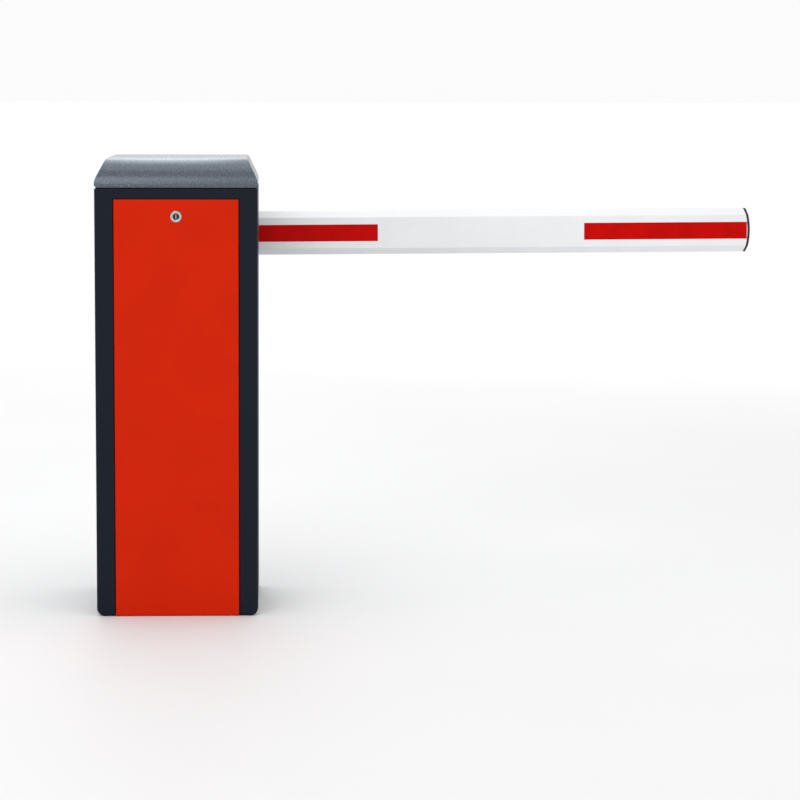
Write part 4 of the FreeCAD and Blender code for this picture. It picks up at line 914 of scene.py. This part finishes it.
@dataclass
class Boom:
    """The boom and its clamp: softened tube and caps, plates with round corners, and a turned hub."""

    tube_rounding: float = 1.1 * MM
    cap_rounding: float = 0.8 * MM
    plate_corner: float = 10 * MM
    plate_edge: float = 0.8 * MM
    hub_edge: float = 1.5 * MM
    hub_land: float = 8.0 * MM

    def build(self) -> None:
        """Build the boom's pieces."""
        tube = Form().copy("boom_tube", self.tube_rounding, 3)
        tube.finish("boom_profile", "boom", "boom_paint", "boom_tube")
        for end in ("tip", "tail"):
            cap = Form().copy(f"boom_{end}_cap", self.cap_rounding)
            cap.finish(f"boom_{end}_plug", "boom", "black_plastic", f"boom_{end}_cap")
        self.clamp()
        self.hub()

    def clamp(self) -> None:
        """Build the two clamp plates."""
        low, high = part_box("clamp_plates")
        tube_low, tube_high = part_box("boom_tube")
        form = Form()
        for near, far in ((low.y, tube_low.y), (tube_high.y, high.y)):
            old = set(form.mesh.verts)
            form.block((low.x, near, low.z), (high.x, far, high.z))
            deep = [edge for edge in form.edges(form.since(old))
                    if abs(edge.verts[0].co.y - edge.verts[1].co.y) > MM]
            form.round(deep, self.plate_corner, 6)
            flat = [edge for edge in form.edges(form.since(old))
                    if abs(edge.verts[0].co.y - edge.verts[1].co.y) < MM / 10]
            form.round(flat, self.plate_edge, 2)
        form.finish("clamp_pair", "boom", "lever_paint", "clamp_plates")

    def hub(self) -> None:
        """Build the hub between the shaft and the clamp."""
        low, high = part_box("boom_hub")
        centre = middle("boom_hub")
        length = high.y - low.y
        bore, radius = radius_of("main_shaft"), radius_of("boom_hub")
        inner, outer, edge = bore + self.hub_land, radius - self.hub_land, self.hub_edge
        profile = [(bore, 0.0), (inner, 0.0), (inner + edge, edge), (outer, edge), (outer + edge, 0.0),
                   (radius - edge, 0.0), (radius, edge), (radius, length), (bore, length)]
        hub = Form().turned(profile, Axis.Y, (centre.x, low.y, centre.z), FINE_SIDES)
        hub.finish("hub_disc", "boom", "lever_paint", "boom_hub")


@dataclass
class Drive:
    """The drive inside the cabinet: coil springs, a finned motor and a lobed hand wheel.

    The springs' upper pin starts spring_swing above the shaft and ends as far below it.
    """

    spring_wire: float = 2.25 * MM
    spring_pitch: float = 8.0 * MM
    spring_swing: float = 56.57 * MM
    pin_radius: float = 8.0 * MM
    pin_gap: float = 0.4 * MM
    hook_slack: float = 2.4 * MM
    hook_length: float = 40.0 * MM
    eye_radius: float = 7.5 * MM
    hook_sides: int = 12
    fins: int = 28
    fin_thickness: float = 1.6 * MM
    fin_inset: float = 0.3 * MM
    fin_edge: float = 0.4 * MM
    core_inset: float = 4.0 * MM
    motor_end: float = 10.0 * MM
    motor_edge: float = 1.0 * MM
    motor_bore: float = 8.05 * MM
    motor_sides: int = 72
    wheel_sides: int = 108
    wheel_edge: float = 3.0 * MM
    wheel_lobes: int = 9
    wheel_lobe: float = 3.0 * MM

    def build(self) -> None:
        """Build the drive's pieces."""
        self.springs()
        self.motor()
        self.hand_wheel()

    def springs(self) -> None:
        """Build the two balance springs as coils with a hook at each end."""
        low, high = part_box("balance_springs")
        outer = radius_of("balance_springs")
        middle_x = middle("balance_springs").x
        wire, eye = self.spring_wire, self.eye_radius
        reach = outer - wire
        hook = self.pin_radius + wire + self.hook_slack
        top = high.z + self.pin_radius + self.pin_gap
        start, end = low.z + self.hook_length, top - self.hook_length
        turns = round((end - start) / self.spring_pitch)
        form = Form()
        for y in (high.y - outer, low.y + outer):
            form.coil(wire, reach, turns, end - start, Axis.Z, (middle_x, y, start))
            form.coil(wire, hook, 1, 0.0, Axis.Y, (middle_x, y, top), RING_STEPS)
            form.coil(wire, eye, 1, 0.0, Axis.Y, (middle_x, y, low.z + eye - 2 * wire), RING_STEPS)
            for foot, tip in ((end, top - hook), (low.z + 2 * (eye - wire), start)):
                form.prism(self.hook_sides, wire, tip - foot, Axis.Z, (middle_x, y, foot))
            for level in (start, end):
                form.prism(self.hook_sides, wire, reach, Axis.X, (middle_x, y, level))
        piece = form.finish("spring_coils", "cabinet", "spring_steel", "balance_springs")
        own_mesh(piece)

    def motor(self) -> None:
        """Build the motor's barrel with its ring of cooling fins."""
        low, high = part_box("motor_body")
        centre = middle("motor_body")
        radius = radius_of("motor_body")
        core = radius - self.core_inset
        length = high.z - low.z
        end, edge, bore = self.motor_end, self.motor_edge, self.motor_bore
        profile = [(bore, 0.0), (radius - edge, 0.0), (radius, edge), (radius, end), (core, end + edge),
                   (core, length - end - edge), (radius, length - end), (radius, length - edge),
                   (radius - edge, length), (bore, length)]
        form = Form().turned(profile, Axis.Z, (centre.x, centre.y, low.z), self.motor_sides)
        half = self.fin_thickness / 2
        fin_low = (core - edge, -half, end - edge)
        fin_high = (radius - self.fin_inset, half, length - end + edge)
        for index in range(self.fins):
            old = set(form.mesh.verts)
            form.block(fin_low, fin_high, self.fin_edge, 1)
            turn = Matrix.Rotation(2 * math.pi * (index + 0.5) / self.fins, 4, "Z")
            bmesh.ops.transform(form.mesh, verts=form.since(old),
                                matrix=Matrix.Translation((centre.x, centre.y, low.z)) @ turn)
        form.finish("finned_motor", "cabinet", "motor_paint", "motor_body")

    def hand_wheel(self) -> None:
        """Build the hand wheel that lowers the boom when the power is off."""
        low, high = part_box("handwheel")
        centre = middle("handwheel")
        wheel = Form().prism(self.wheel_sides, radius_of("handwheel"), high.z - low.z, Axis.Z,
                             (centre.x, centre.y, low.z), self.wheel_edge, self.wheel_lobe, self.wheel_lobes)
        wheel.finish("hand_knob", "worm", "handwheel_plastic", "handwheel")


@dataclass
class Controls:
    """The control box's lid screws, status window and cable glands."""

    screw_radius: float = 3.2 * MM
    screw_inset: float = 8.0 * MM
    screw_height: float = 1.4 * MM
    screw_sink: float = 0.1 * MM
    screw_bevel: float = 0.6 * MM
    screw_flat: float = 0.7
    window_width: float = 32.0 * MM
    window_drop: tuple[float, float] = (40.0 * MM, 60.0 * MM)
    window_rise: float = 1.2 * MM
    window_sink: float = 0.4 * MM
    window_edge: float = 0.5 * MM
    gland_radius: float = 9.0 * MM
    gland_length: float = 22.0 * MM
    gland_sink: float = 0.5 * MM
    gland_shares: tuple[float, float] = (0.3, 0.65)
    gland_profile: Outline = ((0.0, 0.0), (0.55, 0.0), (0.75, 0.25), (0.85, 0.4))
    gland_sides: int = 32
    nut_share: float = 1.15
    nut_low: float = 0.55
    nut_length: float = 0.35
    nut_edge: float = 0.6 * MM

    def build(self) -> None:
        """Build the fittings of the control box."""
        self.screws()
        self.window()
        self.glands()

    def screws(self) -> None:
        """Build the screw heads at the lid's corners."""
        low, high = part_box("control_lid")
        radius, height = self.screw_radius, self.screw_height
        head = [(0.0, 0.0), (radius * self.screw_flat, 0.0), (radius, self.screw_bevel), (radius, height),
                (0.0, height)]
        form = Form()
        for x in (low.x + self.screw_inset, high.x - self.screw_inset):
            for z in (low.z + self.screw_inset, high.z - self.screw_inset):
                form.turned(head, Axis.Y, (x, low.y - height + self.screw_sink, z), SMALL_SIDES)
        form.finish("lid_screws", "cabinet", "zinc_steel")

    def window(self) -> None:
        """Build the dark window that shows the drive's state."""
        low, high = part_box("control_lid")
        across = middle("control_lid").x
        top, foot = self.window_drop
        pane = Form().block((across - self.window_width / 2, low.y - self.window_rise, high.z - foot),
                            (across + self.window_width / 2, low.y + self.window_sink, high.z - top),
                            self.window_edge)
        pane.finish("status_window", "cabinet", "black_plastic")

    def glands(self) -> None:
        """Build the row of cable glands under the box."""
        low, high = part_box("control_box")
        across = middle("control_box").x
        radius, length = self.gland_radius, self.gland_length
        tip = length + self.gland_sink
        outline = [(radius * out, length * up) for out, up in self.gland_profile]
        barrel = outline + [(outline[-1][0], tip), (0.0, tip)]
        form = Form()
        for share in self.gland_shares:
            along = low.y + (high.y - low.y) * share
            foot = low.z - length
            form.turned(barrel, Axis.Z, (across, along, foot), self.gland_sides)
            form.prism(6, radius * self.nut_share, length * self.nut_length, Axis.Z,
                       (across, along, foot + length * self.nut_low), self.nut_edge)
        form.finish("cable_glands", "cabinet", "black_plastic")


@dataclass(frozen=True)
class Lamp:
    """A soft box: its place, the point it faces, its width and height, and its power in watts."""

    name: str
    at: Point
    target: Point
    size: tuple[float, float]
    power: float
    colour: Colour = (1.0, 1.0, 1.0)

    def hang(self) -> None:
        """Add the lamp to the scene."""
        data = bpy.data.lights.new(self.name, "AREA")
        data.shape = "RECTANGLE"
        data.size, data.size_y = self.size
        data.energy = self.power
        data.color = self.colour
        lamp = bpy.data.objects.new(self.name, data)
        aim = (Vector(self.target) - Vector(self.at)).to_track_quat("-Z", "Y")
        lamp.matrix_world = Matrix.Translation(self.at) @ aim.to_matrix().to_4x4()
        bpy.context.scene.collection.objects.link(lamp)


COOL: Colour = (0.88, 0.94, 1.0)


@dataclass
class Studio:
    """The floor, the soft lights and the camera."""

    lamps: tuple[Lamp, ...] = (
        Lamp("key", at=(-1.2, -3.2, 3.4), target=(0.3, 0.0, 0.6), size=(2.4, 1.8), power=30.0),
        Lamp("fill", at=(3.6, -2.6, 1.8), target=(0.4, 0.0, 0.5), size=(2.0, 2.0), power=8.0),
        Lamp("top", at=(0.2, 0.0, 3.3), target=(0.2, 0.0, 0.5), size=(2.6, 1.4), power=10.0),
        Lamp("rim", at=(-0.5, 3.2, 2.6), target=(0.3, 0.1, 0.6), size=(2.4, 1.6), power=18.0),
        Lamp("strip_left", at=(-0.20, 1.35, 2.75), target=(-0.20, 0.0, 0.97), size=(0.24, 1.5), power=3.6,
             colour=COOL),
        Lamp("strip_right", at=(-0.01, 1.35, 2.75), target=(-0.01, 0.0, 0.97), size=(0.15, 1.5), power=2.25,
             colour=COOL),
    )
    eye: Point = (0.2084, -4.8522, 1.14)
    yaw: float = math.radians(1.344)
    pitch: float = math.radians(5.075)
    roll: float = math.radians(0.101)
    lens: float = 98.98
    sensor: float = 36.0
    shift: tuple[float, float] = (0.0939, -0.1438)
    sight: float = 200.0
    floor_size: float = 400.0
    floor_colour: Colour = (0.79, 0.79, 0.795)
    cloud_size: float = 0.9
    # Painted light: the colour and the distances of the floor's glow far from the cabinet.
    far_painted_light: Colour = (0.22, 0.22, 0.215)
    painted_light_start: float = 1.6
    painted_light_full: float = 5.0
    sky: Colour = (1.0, 1.0, 1.0)
    sky_strength: float = 0.97

    def build(self) -> None:
        """Build the studio."""
        self.floor()
        self.world()
        for lamp in self.lamps:
            lamp.hang()
        self.camera()

    def floor(self) -> None:
        """Lay the pale floor, which glows from a set distance outwards: painted light that keeps the far
        floor bright where the lamps fall off.
        """
        mesh = bmesh.new()
        bmesh.ops.create_grid(mesh, x_segments=1, y_segments=1, size=self.floor_size / 2,
                              matrix=Matrix.Translation((0, 0, CAD_BOX[0].z)))
        data = bpy.data.meshes.new("floor")
        mesh.to_mesh(data)
        mesh.free()
        shader = Shader("floor_paint")
        cloud = shader.noise(self.cloud_size, 3.0)
        across, along = shader.axis("X"), shader.axis("Y")
        # Painted light: emission that rises with distance from the cabinet, so the far floor stays bright
        # beyond the lamps' reach.
        far = (across * across + along * along).step(self.painted_light_start ** 2, self.painted_light_full ** 2)
        shader.dress({
            "Base Color": shader.blend(cloud.step(0.3, 0.7), shaded(self.floor_colour, 0.985),
                                       self.floor_colour),
            "Roughness": 0.55 + cloud * 0.1,
            "Specular IOR Level": 0.2,
            "Emission Color": shader.blend(far, (0.0, 0.0, 0.0), self.far_painted_light),
            "Emission Strength": 1.0,
        })
        data.materials.append(shader.material)
        floor = bpy.data.objects.new("floor", data)
        bpy.context.scene.collection.objects.link(floor)

    def world(self) -> None:
        """Fill the room with plain light."""
        world = bpy.data.worlds.new("studio")
        world.use_nodes = True
        background = world.node_tree.nodes["Background"]
        background.inputs["Color"].default_value = (*self.sky, 1.0)
        background.inputs["Strength"].default_value = self.sky_strength
        bpy.context.scene.world = world

    def camera(self) -> None:
        """Set the camera."""
        flat = math.cos(self.pitch)
        ahead = Vector((math.sin(self.yaw) * flat, math.cos(self.yaw) * flat, -math.sin(self.pitch)))
        level = Vector((math.cos(self.yaw), -math.sin(self.yaw), 0.0))
        above = level.cross(ahead)
        right = level * math.cos(self.roll) + above * math.sin(self.roll)
        up = above * math.cos(self.roll) - level * math.sin(self.roll)
        data = bpy.data.cameras.new("camera")
        data.lens = self.lens
        data.sensor_width = self.sensor
        data.shift_x, data.shift_y = self.shift
        data.clip_end = self.sight
        camera = bpy.data.objects.new("camera", data)
        facing = Matrix((right, up, -ahead)).transposed().to_4x4()
        camera.matrix_world = Matrix.Translation(self.eye) @ facing
        bpy.context.scene.collection.objects.link(camera)
        bpy.context.scene.camera = camera


def dress_frame() -> None:
    """Give every node of the frame the finish of its slot."""
    for part in frame["record"]["subparts"]:
        node = frame["nodes"][part["node"]]
        finish = material_for(part["material_slot"])
        for place in node.material_slots:
            place.material = finish
        LOG.info("%s: dressed as %s", part["node"], part["material_slot"])


def main() -> None:
    """Build the whole scene in order."""
    logging.basicConfig(level=logging.INFO, format="%(name)s: %(message)s")
    bpy.context.scene.view_settings.view_transform = "Standard"
    dress_frame()
    for assembly in (Cabinet(), DoorLock(), Boom(), Drive(), Controls(), Studio()):
        LOG.info("building %s", type(assembly).__name__)
        assembly.build()


if __name__ == "__main__":
    main()
